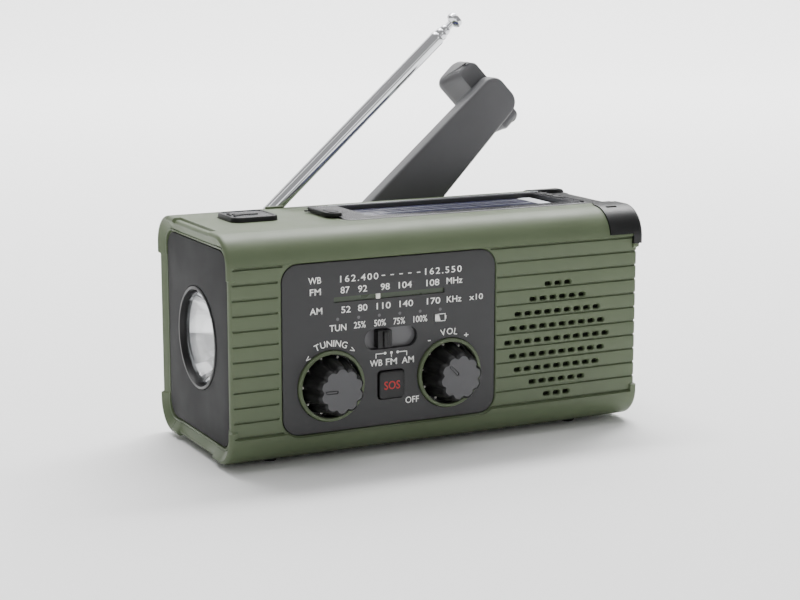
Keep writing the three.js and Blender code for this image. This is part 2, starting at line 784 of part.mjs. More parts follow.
function meshedCenter(from, teethA, teethB, degrees) {
  const distance = (gearModule * (teethA + teethB)) / 2 + gearClearance;
  const angle = (degrees * Math.PI) / 180;
  return { x: from.x + distance * Math.cos(angle), z: from.z + distance * Math.sin(angle) };
}

const reduction = meshedCenter(crank, driveTeeth, smallTeeth, stageOneAngle);
const rotor = meshedCenter(reduction, bigTeeth, rotorTeeth, stageTwoAngle);

function driveGear() {
  const piece = gear(driveTeeth, stageOneAngle, crank, 18.5, 22.2);
  return cut(piece, rodY(2.7, crank.x, crank.z, 0, 50, 14));
}

function reductionGear() {
  const smallPhase = stageOneAngle + 180 + 180 / smallTeeth;
  const piece = joined(
    gear(bigTeeth, stageTwoAngle, reduction, 13.5, 17.3),
    gear(smallTeeth, smallPhase, reduction, 17, 22.4),
  );
  return cut(piece, rodY(1.5, reduction.x, reduction.z, 0, 50, 10));
}

function generatorRotor() {
  const phase = stageTwoAngle + 180 + 180 / rotorTeeth;
  return joined(gear(rotorTeeth, phase, rotor, 13.5, 17.3), rodY(1.2, rotor.x, rotor.z, 8, 18.4, 10));
}

function generatorBody() {
  const can = rodY(10, rotor.x, rotor.z, -4, 12.4, 20);
  return cut(can, rodY(1.6, rotor.x, rotor.z, 6, 20, 10));
}

function gearPlate() {
  const plate = plateY(roundedRect(-8, 29, 34, 68.4, 5), 24.4, 25.8, 3);
  return cut(
    plate,
    rodY(2.8, crank.x, crank.z, 20, 30, 14),
    rodY(1.5, reduction.x, reduction.z, 20, 30, 10),
  );
}

function rearScrew(side) {
  return joined(
    rodY(1.35, side * post.x, post.z, 12, 32.4, 8),
    rodY(2.7, side * post.x, post.z, 31.6, 33.2, 12),
  );
}

function foot(sideX, sideY) {
  const x = sideX * 59.5 - 1;
  const y = sideY * 20.6;
  const pad = new THREE.CylinderGeometry(2.7, 2.2, footHeight - 0.1, 12);
  pad.rotateX(Math.PI / 2);
  pad.translate(x, y, (footHeight - 0.1) / 2);
  return solid(pad);
}

// Collects the named meshes
const radio = new THREE.Group();

function add(name, piece, finish) {
  const raw = piece.getMesh();
  const geometry = new THREE.BufferGeometry();
  geometry.setAttribute('position', new THREE.BufferAttribute(raw.vertProperties, raw.numProp));
  geometry.setIndex(new THREE.BufferAttribute(raw.triVerts, 1));
  geometry.computeVertexNormals();
  const mesh = new THREE.Mesh(geometry, finishes[finish]());
  mesh.name = name;
  radio.add(mesh);
}

const body = caseBody();
add('main_shell', mainShell(body), 'green');
add('rear_cover', rearCover(body), 'green');
add('front_panel', frontPanel(), 'darkGrey');
add('left_end_panel', cut(endPanel(-1), rodX(torchRadius, 0, torchZ, -90, -60, 32)), 'darkGrey');
add('right_end_panel', rightEndPanel(), 'darkGrey');
add('port_block', portBlock(), 'steel');
add('port_cover', portCover(), 'rubber');
for (const sideX of [-1, 1]) {
  for (const sideY of [-1, 1]) {
    const name = `foot_${sideY < 0 ? 'front' : 'rear'}_${sideX < 0 ? 'left' : 'right'}`;
    add(name, foot(sideX, sideY), 'rubber');
  }
}
add('rear_screw_left', rearScrew(-1), 'steel');
add('rear_screw_right', rearScrew(1), 'steel');

add('torch_bezel', torchBezel(), 'black');
add('torch_lens', rodX(torchMouth, 0, torchZ, -76.6, -75.4, 28), 'clear');
add('torch_reflector', torchReflector(), 'chrome');
add('torch_led', torchLed(), 'cream');

add('tuning_ring', knobRing(tuning), 'green');
add('volume_ring', knobRing(volume), 'green');
add('tuning_knob', knob(tuning, 180), 'knobGrey');
add('volume_knob', knob(volume, 135), 'knobGrey');
add('tuning_capacitor', tuningCapacitor(), 'cream');
add('volume_control', volumeControl(), 'steel');
add('dial_pointer', dialPointer(), 'white');
add('band_slider', bandSlider(), 'black');
add('band_switch', block(-31, -9.6, -29.2, -27.4, 37.2, 44.9), 'steel');
add('sos_button', sosButton(), 'black');
add('light_button', lightButtonCap(), 'black');
add('main_board', mainBoard(), 'board');
add('speaker_frame', speakerFrame(), 'steel');
add('speaker_cone', speakerCone(), 'paper');
add('speaker_magnet', rodY(14, speakerX, speakerZ, -15.6, -8, 24), 'steel');
add('battery_cell', rodX(9, 4, 14.3, -47, 17, 20), 'blue');
add('battery_cradle', batteryCradle(), 'black');
add('ferrite_rod', rodX(4, 8, 66.4, -54, -12, 14), 'black');
add('ferrite_coil', cut(rodX(5.2, 8, 66.4, -40, -28, 14), rodX(4.3, 8, 66.4, -50, -20, 14)), 'copper');

add('hinge_saddle', hingeSaddle(), 'black');
add('lid_hinge_pin', rodY(hinge.pin, hinge.x, hinge.z, lid.front, lid.back, 12), 'steel');
add('solar_lid', solarLid(), 'darkGrey');
add('solar_cell', block(cell.left + gap, cell.right - gap, cell.front + gap, cell.back - gap,
  cell.floor + gap, cell.floor + 0.8), 'solar');
add('lid_tab', lidTab(), 'black');
add('lamp_diffuser', block(-8, 52, -6, 14, 75, 76), 'white');

add('antenna_pivot', rodY(1.2, antenna.x, antenna.z, 24.2, 32.6, 10), 'steel');
add('antenna_knuckle', antennaKnuckle(), 'chrome');
antennaTubes.forEach((tube, index) => {
  add(`antenna_section_${index + 1}`, antennaTube(tube), 'chrome');
});
add('antenna_section_4', antennaLast(), 'chrome');

add('crank_arm', crankArm(), 'darkGrey');
add('crank_grip', crankGrip(), 'darkGrey');
add('grip_pin', gripPin(), 'steel');
add('crank_screw', joined(rodY(3.2, crank.x, crank.z, 40.7, 42, 16),
  rodY(1.3, crank.x, crank.z, 39.8, 41, 8)), 'steel');
add('crank_bush', cut(rodY(4.5, crank.x, crank.z, 27.5, 34.6, 18),
  rodY(2.7, crank.x, crank.z, 20, 40, 14)), 'brass');
add('crank_shaft', rodY(2.4, crank.x, crank.z, 17.8, 39.3, 14), 'steel');
add('drive_gear', driveGear(), 'cream');
add('reduction_gear', reductionGear(), 'cream');
add('reduction_axle', rodY(1.2, reduction.x, reduction.z, 12.8, 25.6, 10), 'steel');
add('generator_rotor', generatorRotor(), 'steel');
add('generator_body', generatorBody(), 'steel');
add('gear_plate', gearPlate(), 'steel');

// The origin lies under the middle of the whole object, on the surface that it stands on
radio.updateMatrixWorld(true);
const whole = new THREE.Box3().setFromObject(radio);
radio.position.set(0, -(whole.min.y + whole.max.y) / 2, 0);

export default radio;
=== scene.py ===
import json
import math
import bmesh
import bpy
from mathutils import Matrix, Vector


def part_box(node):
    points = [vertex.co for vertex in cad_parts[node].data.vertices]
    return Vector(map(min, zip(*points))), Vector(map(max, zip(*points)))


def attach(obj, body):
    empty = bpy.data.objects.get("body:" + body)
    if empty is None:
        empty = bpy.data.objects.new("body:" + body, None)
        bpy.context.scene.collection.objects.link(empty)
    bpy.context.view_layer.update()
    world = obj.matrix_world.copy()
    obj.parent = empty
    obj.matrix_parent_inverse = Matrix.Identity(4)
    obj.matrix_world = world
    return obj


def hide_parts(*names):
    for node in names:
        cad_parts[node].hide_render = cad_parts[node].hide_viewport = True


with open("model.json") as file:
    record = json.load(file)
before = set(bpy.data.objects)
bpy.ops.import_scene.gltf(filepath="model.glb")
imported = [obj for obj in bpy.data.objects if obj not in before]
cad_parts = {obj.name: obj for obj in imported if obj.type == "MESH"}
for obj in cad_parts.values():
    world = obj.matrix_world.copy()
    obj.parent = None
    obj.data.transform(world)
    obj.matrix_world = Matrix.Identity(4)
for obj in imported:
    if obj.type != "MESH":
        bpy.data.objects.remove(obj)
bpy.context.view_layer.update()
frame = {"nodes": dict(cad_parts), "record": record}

mm = 0.001
caseLow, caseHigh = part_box("main_shell")
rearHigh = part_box("rear_cover")[1]
midY = (caseLow.y + rearHigh.y) / 2      # shapes are drawn in mm, with y from the middle of the case
halfLength = (caseHigh.x - caseLow.x) / 2 / mm
halfDepth = (rearHigh.y - caseLow.y) / 2 / mm
lowZ = caseLow.z / mm
topZ = caseHigh.z / mm


def nodeBox(name):                       # a CAD node's corners in the drawing's mm
    low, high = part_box(name)
    shift = Vector((0, midY, 0))
    return (low - shift) / mm, (high - shift) / mm


def nodeCentre(name):
    low, high = nodeBox(name)
    return (low + high) / 2


# camera: a long lens, a little above the case and off to its left
view = {"place": (-0.29388, midY - 0.58250, 0.17236), "down": 10.9, "turn": -26.75, "lens": 82.9}
cameraData = bpy.data.cameras.new("camera")
cameraData.lens = view["lens"]
cameraData.sensor_width = 36
cameraData.clip_start = 0.01
camera = bpy.data.objects.new("camera", cameraData)
camera.location = view["place"]
camera.rotation_euler = (math.radians(90 - view["down"]), 0, math.radians(view["turn"]))
bpy.context.collection.objects.link(camera)
bpy.context.scene.camera = camera


# materials

def linearColour(code):                  # sRGB hex to linear
    parts = [int(code[i:i + 2], 16) / 255 for i in (1, 3, 5)]
    return [p / 12.92 if p <= 0.04045 else ((p + 0.055) / 1.055) ** 2.4 for p in parts] + [1]


def addNode(tree, kind, values=None, links=None, **settings):
    node = tree.nodes.new(kind)
    for key, value in settings.items():
        setattr(node, key, value)
    for key, value in (values or {}).items():
        node.inputs[key].default_value = value
    for key, source in (links or {}).items():
        tree.links.new(source, node.inputs[key])
    return node


def newMaterial(name):
    material = bpy.data.materials.new(name)
    material.use_nodes = True
    material.node_tree.nodes.clear()
    return material, material.node_tree


def perMm(size):                         # texture scale for a feature of this many mm
    return 1 / (size * mm)


def mouldedPlastic(name, look):
    # spark-eroded mould: a fine even grain, a faint flow mottle and a gloss that wanders a little
    material, tree = newMaterial(name)
    at = addNode(tree, "ShaderNodeTexCoord").outputs["Object"]
    grain = addNode(tree, "ShaderNodeTexNoise", {"Scale": perMm(look["grain"]), "Detail": 2.0,
                                                 "Roughness": 0.6},
                    {"Vector": at})
    flow = addNode(tree, "ShaderNodeTexNoise", {"Scale": perMm(look["flow"]), "Detail": 3.0},
                   {"Vector": at})
    tint = addNode(tree, "ShaderNodeMix", {"A": linearColour(look["dark"]),
                                           "B": linearColour(look["light"])},
                   {"Factor": flow.outputs["Fac"]}, data_type="RGBA")
    gloss = addNode(tree, "ShaderNodeMapRange",
                    {"From Min": 0.3, "From Max": 0.7, "To Min": look["rough"] - 0.05,
                     "To Max": look["rough"] + 0.05},
                    {"Value": flow.outputs["Fac"]})
    bump = addNode(tree, "ShaderNodeBump", {"Strength": look["bump"], "Distance": 0.00005},
                   {"Height": grain.outputs["Fac"]})
    shader = addNode(tree, "ShaderNodeBsdfPrincipled", {"IOR": look["ior"]},
                     {"Base Color": tint.outputs["Result"], "Roughness": gloss.outputs["Result"],
                      "Normal": bump.outputs["Normal"]})
    addNode(tree, "ShaderNodeOutputMaterial", None, {"Surface": shader.outputs["BSDF"]})
    return material


def polishedMetal(name, look):
    # plated or turned metal, with faint lines round or along it from the last pass of the tool
    material, tree = newMaterial(name)
    at = addNode(tree, "ShaderNodeTexCoord").outputs["Object"]
    lines = addNode(tree, "ShaderNodeMapping", {"Scale": look["lines"]}, {"Vector": at})
    scratch = addNode(tree, "ShaderNodeTexNoise", {"Scale": perMm(look["grain"]), "Detail": 3.0},
                      {"Vector": lines.outputs["Vector"]})
    gloss = addNode(tree, "ShaderNodeMapRange", {"To Min": look["rough"] * 0.7,
                                                 "To Max": look["rough"] * 1.4},
                    {"Value": scratch.outputs["Fac"]})
    bump = addNode(tree, "ShaderNodeBump", {"Strength": look["bump"], "Distance": 0.00002},
                   {"Height": scratch.outputs["Fac"]})
    shader = addNode(tree, "ShaderNodeBsdfPrincipled",
                     {"Base Color": linearColour(look["colour"]), "Metallic": 1.0},
                     {"Roughness": gloss.outputs["Result"], "Normal": bump.outputs["Normal"]})
    addNode(tree, "ShaderNodeOutputMaterial", None, {"Surface": shader.outputs["BSDF"]})
    return material


def clearPolycarbonate(name):
    # moulded lens with a breath of haze; its IOR is set low, so that the reflector shows through undistorted
    material, tree = newMaterial(name)
    at = addNode(tree, "ShaderNodeTexCoord").outputs["Object"]
    haze = addNode(tree, "ShaderNodeTexNoise", {"Scale": perMm(6)}, {"Vector": at})
    gloss = addNode(tree, "ShaderNodeMapRange", {"To Min": 0.0, "To Max": 0.04},
                    {"Value": haze.outputs["Fac"]})
    shader = addNode(tree, "ShaderNodeBsdfPrincipled",
                     {"Base Color": linearColour("#f4f8f8"), "IOR": 1.3, "Transmission Weight": 1.0,
                      "Alpha": 0.25},
                     {"Roughness": gloss.outputs["Result"]})
    addNode(tree, "ShaderNodeOutputMaterial", None, {"Surface": shader.outputs["BSDF"]})
    return material


def siliconCell(name, look):
    # polycrystalline silicon under clear resin: blue-violet, with flat crystal patches a few mm wide
    material, tree = newMaterial(name)
    at = addNode(tree, "ShaderNodeTexCoord").outputs["Object"]
    crystal = addNode(tree, "ShaderNodeTexVoronoi", {"Scale": perMm(look["crystal"])}, {"Vector": at})
    tint = addNode(tree, "ShaderNodeMix", {"A": linearColour(look["dark"]),
                                           "B": linearColour(look["light"])},
                   {"Factor": crystal.outputs["Color"]}, data_type="RGBA")
    shader = addNode(tree, "ShaderNodeBsdfPrincipled",
                     {"Roughness": 0.3, "Coat Weight": 1.0, "Coat Roughness": 0.06, "IOR": 1.5},
                     {"Base Color": tint.outputs["Result"]})
    addNode(tree, "ShaderNodeOutputMaterial", None, {"Surface": shader.outputs["BSDF"]})
    return material


# each moulded plastic: name, dark and light tone, mm of grain and of flow mottle, roughness, bump and IOR
plastics = {
    # olive ABS with a fine spark texture: soft broad highlights
    "greenAbs": ("mouldedAbsOlive", "#515c43", "#5a664b", 0.45, 18, 0.46, 0.35, 1.44),
    # grey ABS of the dial panel: finer texture, almost matt
    "panelAbs": ("mouldedAbsGrey", "#353536", "#3b3b3c", 0.4, 14, 0.5, 0.3, 1.42),
    # the end plates are the flattest of the mouldings
    "endAbs": ("mouldedAbsMatt", "#222223", "#272728", 0.4, 14, 0.65, 0.3, 1.3),
    # the lid's grey ABS is smoother, so that it mirrors light at a low angle
    "lidAbs": ("polishedAbsGrey", "#3c3c3f", "#434346", 0.8, 20, 0.22, 0.08, 1.55),
    "blackAbs": ("mouldedAbsBlack", "#0d0d0e", "#131314", 0.5, 9, 0.4, 0.25, 1.45),
    "knobAbs": ("mouldedAbsKnob", "#48484a", "#4f4f51", 0.4, 6, 0.42, 0.25, 1.45),
    "crankAbs": ("mouldedAbsCrank", "#5a5a5c", "#626264", 0.6, 16, 0.4, 0.25, 1.45),
    "padAbs": ("mouldedAbsButton", "#5a5a5c", "#626264", 0.4, 8, 0.4, 0.2, 1.5),
    # smoked acrylic strip behind the dial: the smoky grey is its own, the green cast in both tones is a
    # painted reflection of the green case
    "dialWindowWithPaintedCaseReflection": ("smokedAcrylicWithPaintedCaseReflection", "#3a4434", "#414b3a", 1, 10, 0.3, 0.05, 1.45),
    "grilleCloth": ("wovenGrilleCloth", "#1c2015", "#282d1f", 0.35, 3, 0.85, 0.6, 1.4),
    # silicone ink printed on the panel: flat white with a slightly uneven film
    "whiteInk": ("padPrintWhite", "#eeeeea", "#fafaf6", 0.3, 3, 0.55, 0.1, 1.45),
    "redInk": ("padPrintRed", "#b01818", "#c42222", 0.3, 3, 0.5, 0.1, 1.45),
    "whiteAcetal": ("mouldedAcetalWhite", "#e8e6de", "#f4f2ea", 0.5, 8, 0.4, 0.1, 1.48),
    "creamAcetal": ("mouldedAcetalCream", "#cdc8b6", "#dcd8c8", 0.5, 8, 0.45, 0.15, 1.48),
    "rubber": ("compressionMouldedRubber", "#1c1c1c", "#262626", 0.6, 7, 0.75, 0.5, 1.52),
    "solderMask": ("solderMaskLaminate", "#225236", "#2c6040", 0.5, 5, 0.3, 0.2, 1.55),
    "cellWrap": ("shrinkFilmBlue", "#2c5c98", "#3a6cac", 2, 12, 0.25, 0.1, 1.5),
    "conePaper": ("pressedPaperBlack", "#202021", "#2e2e30", 0.9, 5, 0.9, 0.8, 1.4),
    "ferrite": ("sinteredFerrite", "#262628", "#343436", 0.7, 4, 0.6, 0.5, 1.6),
}
plasticKeys = ("dark", "light", "grain", "flow", "rough", "bump", "ior")
finish = {key: mouldedPlastic(row[0], dict(zip(plasticKeys, row[1:]))) for key, row in plastics.items()}
finish.update({
    # nickel-chrome on drawn brass tube: a near mirror with faint lines along it
    "chromeTube": polishedMetal("chromePlatedBrass",
                                {"colour": "#e4e5e8", "rough": 0.08, "grain": 0.8, "bump": 0.05,
                                 "lines": (0.2, 1, 1)}),
    # vacuum-metallised reflector: a soft mirror
    "mirrorCoat": polishedMetal("vacuumMetallisedPlastic",
                                {"colour": "#f0f1f3", "rough": 0.07, "grain": 3, "bump": 0.03,
                                 "lines": (1, 1, 1)}),
    "zincSteel": polishedMetal("zincPlatedSteel",
                               {"colour": "#a9abae", "rough": 0.35, "grain": 0.6, "bump": 0.3,
                                "lines": (1, 1, 0.3)}),
    "busSilver": polishedMetal("screenPrintedSilver",
                               {"colour": "#c9ccd2", "rough": 0.4, "grain": 0.4, "bump": 0.2,
                                "lines": (1, 1, 1)}),
    "brass": polishedMetal("turnedBrass", {"colour": "#b8954e", "rough": 0.3, "grain": 0.5, "bump": 0.2,
                                           "lines": (1, 0.2, 1)}),
    "copperWire": polishedMetal("enamelledCopper",
                                {"colour": "#b06a3c", "rough": 0.3, "grain": 0.3, "bump": 0.4,
                                 "lines": (1, 0.1, 0.1)}),
    "lens": clearPolycarbonate("clearPolycarbonate"),
    "silicon": siliconCell("polycrystallineSilicon",
                           {"dark": "#15173a", "light": "#2c2d5c", "crystal": 2.5}),
})

slotFinish = {                           # what each of the record's slots is made of
    "green_abs": "greenAbs", "grey_abs": "panelAbs", "black_abs": "blackAbs", "knob_plastic": "knobAbs",
    "chrome_plate": "chromeTube", "bright_steel": "zincSteel", "brass": "brass",
    "white_plastic": "whiteAcetal",
    "cream_plastic": "creamAcetal", "circuit_board": "solderMask", "solar_cell": "silicon",
    "clear_lens": "lens",
    "rubber": "rubber", "cell_wrap": "cellWrap", "copper_wire": "copperWire", "speaker_paper": "conePaper",
    "ferrite": "ferrite",
}
for row in frame["record"]["subparts"]:
    mesh = frame["nodes"][row["node"]].data
    mesh.materials.clear()
    mesh.materials.append(finish[slotFinish[row["material_slot"]]])


# mesh helpers, all in the drawing's mm

def newPiece(name, points, faces):
    mesh = bpy.data.meshes.new(name)
    mesh.from_pydata([tuple(p) for p in points], [], faces)
    piece = bpy.data.objects.new(name, mesh)
    bpy.context.collection.objects.link(piece)
    form = bmesh.new()
    form.from_mesh(mesh)
    bmesh.ops.remove_doubles(form, verts=form.verts, dist=1e-4)
    bmesh.ops.dissolve_degenerate(form, edges=form.edges, dist=1e-4)
    bmesh.ops.recalc_face_normals(form, faces=form.faces)
    form.to_mesh(mesh)
    form.free()
    return piece


def bake(piece):                         # modifiers into the mesh
    graph = bpy.context.evaluated_depsgraph_get()
    graph.update()
    made = bpy.data.meshes.new_from_object(piece.evaluated_get(graph))
    piece.modifiers.clear()
    piece.data = made
    return piece


def carve(piece, *cutters, how="DIFFERENCE"):
    for cutter in cutters:
        step = piece.modifiers.new("carve", "BOOLEAN")
        step.operation = how
        step.solver = "MANIFOLD"
        step.object = cutter
    bake(piece)
    for cutter in cutters:
        bpy.data.objects.remove(cutter)
    return piece


def together(name, pieces):              # several closed bodies in one piece
    form = bmesh.new()
    materials = []
    for piece in pieces:
        start = len(form.faces)
        form.from_mesh(piece.data)
        form.faces.ensure_lookup_table()
        for face in form.faces[start:]:
            own = piece.data.materials[face.material_index] if piece.data.materials else None
            if own not in materials:
                materials.append(own)
            face.material_index = materials.index(own)
        bpy.data.objects.remove(piece)
    mesh = bpy.data.meshes.new(name)
    form.to_mesh(mesh)
    form.free()
    for material in materials:
        mesh.materials.append(material)
    made = bpy.data.objects.new(name, mesh)
    bpy.context.collection.objects.link(made)
    return made


def tilt(piece, x, z, degrees):          # turns about Y through (x, z); positive lifts +X
    turn = Matrix.Rotation(math.radians(-degrees), 4, "Y")
    piece.data.transform(Matrix.Translation((x, 0, z)) @ turn @ Matrix.Translation((-x, 0, -z)))
    return piece


def settle(piece, body, look=None, replaces=(), sharp=35):
    piece.data.transform(Matrix.Translation((0, midY, 0)) @ Matrix.Scale(mm, 4))
    if look:
        piece.data.materials.clear()
        piece.data.materials.append(finish[look])
    piece.data.polygons.foreach_set("use_smooth", [True] * len(piece.data.polygons))
    piece.data.set_sharp_from_angle(angle=math.radians(sharp))
    piece.data.update()
    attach(piece, body)
    if replaces:
        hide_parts(*replaces)
    return piece


def roundRect(u0, u1, v0, v1, radius, steps=10):
    corners = ((u1 - radius, v0 + radius, -90), (u1 - radius, v1 - radius, 0),
               (u0 + radius, v1 - radius, 90), (u0 + radius, v0 + radius, 180))
    points = []
    for u, v, start in corners:
        for i in range(steps + 1):
            a = math.radians(start + 90 * i / steps)
            points.append((u + radius * math.cos(a), v + radius * math.sin(a)))
    return points


def roundSquare(u, v, half, radius, steps):
    return roundRect(u - half, u + half, v - half, v + half, radius, steps)


def circle(u, v, radius, sides=48):
    return [(u + radius * math.cos(2 * math.pi * i / sides), v + radius * math.sin(2 * math.pi * i / sides))
            for i in range(sides)]


def shrink(outline, distance):           # moves an outline in by this much, square to its edges
    points = []
    for i, here in enumerate(outline):
        before, after = Vector(outline[i - 1]), Vector(outline[(i + 1) % len(outline)])
        first = (Vector(here) - before).normalized()
        second = (after - Vector(here)).normalized()
        inward = Vector((-first.y - second.y, first.x + second.x)).normalized()
        reach = distance / max(0.4, inward.dot(Vector((-first.y, first.x))))
        points.append(tuple(Vector(here) + inward * reach))
    return points


def spot(axis, u, v, w):                 # outline numbers u, v and the depth w along an axis
    return {"x": (w, u, v), "y": (u, w, v), "z": (u, v, w)}[axis]


def loft(name, axis, rings, loop=False):  # rings of (outline, depth), with caps unless it is a loop
    count = len(rings[0][0])
    points = [spot(axis, u, v, w) for outline, w in rings for u, v in outline]
    faces = []
    for r in range(len(rings) if loop else len(rings) - 1):
        for i in range(count):
            j = (i + 1) % count
            a, b = r * count, (r + 1) % len(rings) * count
            faces.append((a + i, a + j, b + j, b + i))
    if not loop:
        faces.append(tuple(range(count)))
        faces.append(tuple(range((len(rings) - 1) * count, len(rings) * count)))
    return newPiece(name, points, faces)


def plate(name, outline, axis, start, end, edge=0.0, far=0.0, steps=4):
    rings = []                           # edge rounds the start side, far the end side
    for i in range(steps + 1 if edge else 1):
        a = math.pi / 2 * i / steps
        rings.append((shrink(outline, edge * (1 - math.sin(a))), start + edge * (1 - math.cos(a))))
    for i in range(steps + 1 if far else 1):
        a = math.pi / 2 * i / steps
        rings.append((shrink(outline, far * (1 - math.cos(a))), end - far * (1 - math.sin(a))))
    return loft(name, axis, rings)


def block(name, x0, x1, y0, y1, z0, z1):
    return plate(name, [(x0, y0), (x1, y0), (x1, y1), (x0, y1)], "z", z0, z1)


def lathe(name, axis, centre, profile, sides=64):  # profile of (radius, depth), closed or ending on the axis
    closed = profile[0] == profile[-1]
    turned = profile[:-1] if closed else profile
    rings = [(circle(centre[0], centre[1], max(r, 1e-5), sides), w) for r, w in turned]
    return loft(name, axis, rings, loop=closed)


# Geometry Nodes: one tree repeats a piece along a line, one round a circle, and one draws a fluted knob

def newTree(name, sockets):
    tree = bpy.data.node_groups.new(name, "GeometryNodeTree")
    tree.interface.new_socket("Geometry", in_out="INPUT", socket_type="NodeSocketGeometry")
    for title, kind in sockets:
        tree.interface.new_socket(title, in_out="INPUT", socket_type="NodeSocket" + kind)
    tree.interface.new_socket("Geometry", in_out="OUTPUT", socket_type="NodeSocketGeometry")
    return tree, addNode(tree, "NodeGroupInput").outputs


def endTree(tree, given, geometry):
    real = addNode(tree, "GeometryNodeRealizeInstances", None, {"Geometry": geometry})
    coated = addNode(tree, "GeometryNodeSetMaterial", None,
                     {"Geometry": real.outputs["Geometry"], "Material": given["Finish"]})
    addNode(tree, "NodeGroupOutput", None, {"Geometry": coated.outputs["Geometry"]})
    return tree


def rowTree():
    tree, given = newTree("repeatAlongLine", [("Count", "Int"), ("Start", "Vector"), ("Step", "Vector"),
                                              ("Finish", "Material")])
    line = addNode(tree, "GeometryNodeMeshLine", None,
                   {"Count": given["Count"], "Start Location": given["Start"], "Offset": given["Step"]})
    row = addNode(tree, "GeometryNodeInstanceOnPoints", None,
                  {"Points": line.outputs["Mesh"], "Instance": given["Geometry"]})
    return endTree(tree, given, row.outputs["Instances"])


def ringTree():
    tree, given = newTree("repeatRoundCircle", [("Count", "Int"), ("Radius", "Float"), ("Turn", "Vector"),
                                                ("Centre", "Vector"), ("Finish", "Material")])
    ring = addNode(tree, "GeometryNodeMeshCircle", None,
                   {"Vertices": given["Count"], "Radius": given["Radius"]})
    stood = addNode(tree, "GeometryNodeTransform", None,
                    {"Geometry": ring.outputs["Mesh"], "Rotation": given["Turn"],
                     "Translation": given["Centre"]})
    row = addNode(tree, "GeometryNodeInstanceOnPoints", None,
                  {"Points": stood.outputs["Geometry"], "Instance": given["Geometry"]})
    return endTree(tree, given, row.outputs["Instances"])


def mathNode(tree, operation, first, second):  # a math node of two sockets
    return addNode(tree, "ShaderNodeMath", None, {0: first, 1: second}, operation=operation).outputs[0]


def knobTree():
    # a cylinder whose radius shrinks from Base to Face, dips Dip deep between Lobes and rounds over by Edge
    tree, given = newTree("flutedKnob", [("Base", "Float"), ("Face", "Float"), ("Height", "Float"),
                                         ("Lobes", "Float"),
                                         ("Dip", "Float"), ("Edge", "Float"), ("Finish", "Material")])
    body = addNode(tree, "GeometryNodeMeshCylinder",
                   {"Vertices": 240, "Side Segments": 14, "Fill Segments": 5, "Radius": 1.0, "Depth": 1.0})
    place = addNode(tree, "GeometryNodeInputPosition")
    parts = addNode(tree, "ShaderNodeSeparateXYZ", None, {"Vector": place.outputs["Position"]})
    angle = mathNode(tree, "ARCTAN2", parts.outputs["Y"], parts.outputs["X"])
    turns = mathNode(tree, "MULTIPLY", angle, given["Lobes"])
    wave = addNode(tree, "ShaderNodeMath", None, {0: turns}, operation="COSINE")
    valley = addNode(tree, "ShaderNodeMapRange", {"From Min": 1.0, "From Max": -1.0},
                     {"Value": wave.outputs[0]})
    narrow = addNode(tree, "ShaderNodeMath", {1: 2.2}, {0: valley.outputs["Result"]}, operation="POWER")
    dip = mathNode(tree, "MULTIPLY", narrow.outputs[0], given["Dip"])
    up = addNode(tree, "ShaderNodeMath", {1: 0.5}, {0: parts.outputs["Z"]}, operation="ADD").outputs[0]
    taper = addNode(tree, "ShaderNodeMapRange", None,
                    {"Value": up, "To Min": given["Base"], "To Max": given["Face"]})
    brow = addNode(tree, "ShaderNodeMapRange", {"From Min": 0.9, "From Max": 1.0}, {"Value": up})
    curl = addNode(tree, "ShaderNodeMath", {1: 2.0}, {0: brow.outputs["Result"]}, operation="POWER")
    lost = mathNode(tree, "MULTIPLY", curl.outputs[0], given["Edge"])
    wide = mathNode(tree, "SUBTRACT", taper.outputs["Result"], dip)
    radius = mathNode(tree, "SUBTRACT", wide, lost)
    moved = addNode(tree, "ShaderNodeCombineXYZ", None,
                    {"X": mathNode(tree, "MULTIPLY", parts.outputs["X"], radius),
                     "Y": mathNode(tree, "MULTIPLY", parts.outputs["Y"], radius),
                     "Z": mathNode(tree, "MULTIPLY", up, given["Height"])})
    shaped = addNode(tree, "GeometryNodeSetPosition", None,
                     {"Geometry": body.outputs["Mesh"], "Position": moved.outputs["Vector"]})
    return endTree(tree, given, shaped.outputs["Geometry"])


repeatAlong = rowTree()
repeatRound = ringTree()
flutedKnob = knobTree()


def runTree(piece, tree, **inputs):
    step = piece.modifiers.new(tree.name, "NODES")
    step.node_group = tree
    for socket in tree.interface.items_tree:
        if socket.in_out == "INPUT" and socket.name in inputs:
            step[socket.identifier] = inputs[socket.name]
    return bake(piece)


# case: a rounded box whose long sides are ribbed, drawn as one grid round and along it
case = {
    "corner": 10.8, "wall": 2.4, "step": 0.8, "bandLow": 11.8, "bandHigh": 69.4, "rimWidth": 3.0,
    "rimLow": 14.5, "rimHigh": 65.2, "rimHalfY": 17.0, "split": 22.8,
    "grooves": 12, "firstZ": 12.36, "pitch": 5.134, "grooveHalf": 0.3, "grooveDeep": 0.65, "puff": 0.12,
    "end": [(0, 1.3), (0.1, 0.8), (0.38, 0.38), (0.8, 0.1), (1.3, 0), (4.2, 1.75), (4.5, 2.0), (4.65, 1.65),
            (5.15, 1.6), (5.3, 1.8), (5.35, 2.6), (6.2, 2.6)],
}
panel = {"left": -60.5, "right": 20.2, "low": 10.8, "high": 69.0, "radius": 6.0, "face": -33.0}
grooveEnds = {"left": -62.1, "leftFirst": -60.4, "right": 21.1, "rightFirst": 18.4}
grooveZ = [case["firstZ"] + i * case["pitch"] for i in range(case["grooves"])]


def ease(value, low, high):              # 0 below low, 1 above high, smooth between
    t = min(1, max(0, (value - low) / (high - low)))
    return t * t * (3 - 2 * t)


def between(value, low, high, soft=0.15):
    return ease(value, low - soft, low + soft) * (1 - ease(value, high - soft, high + soft))


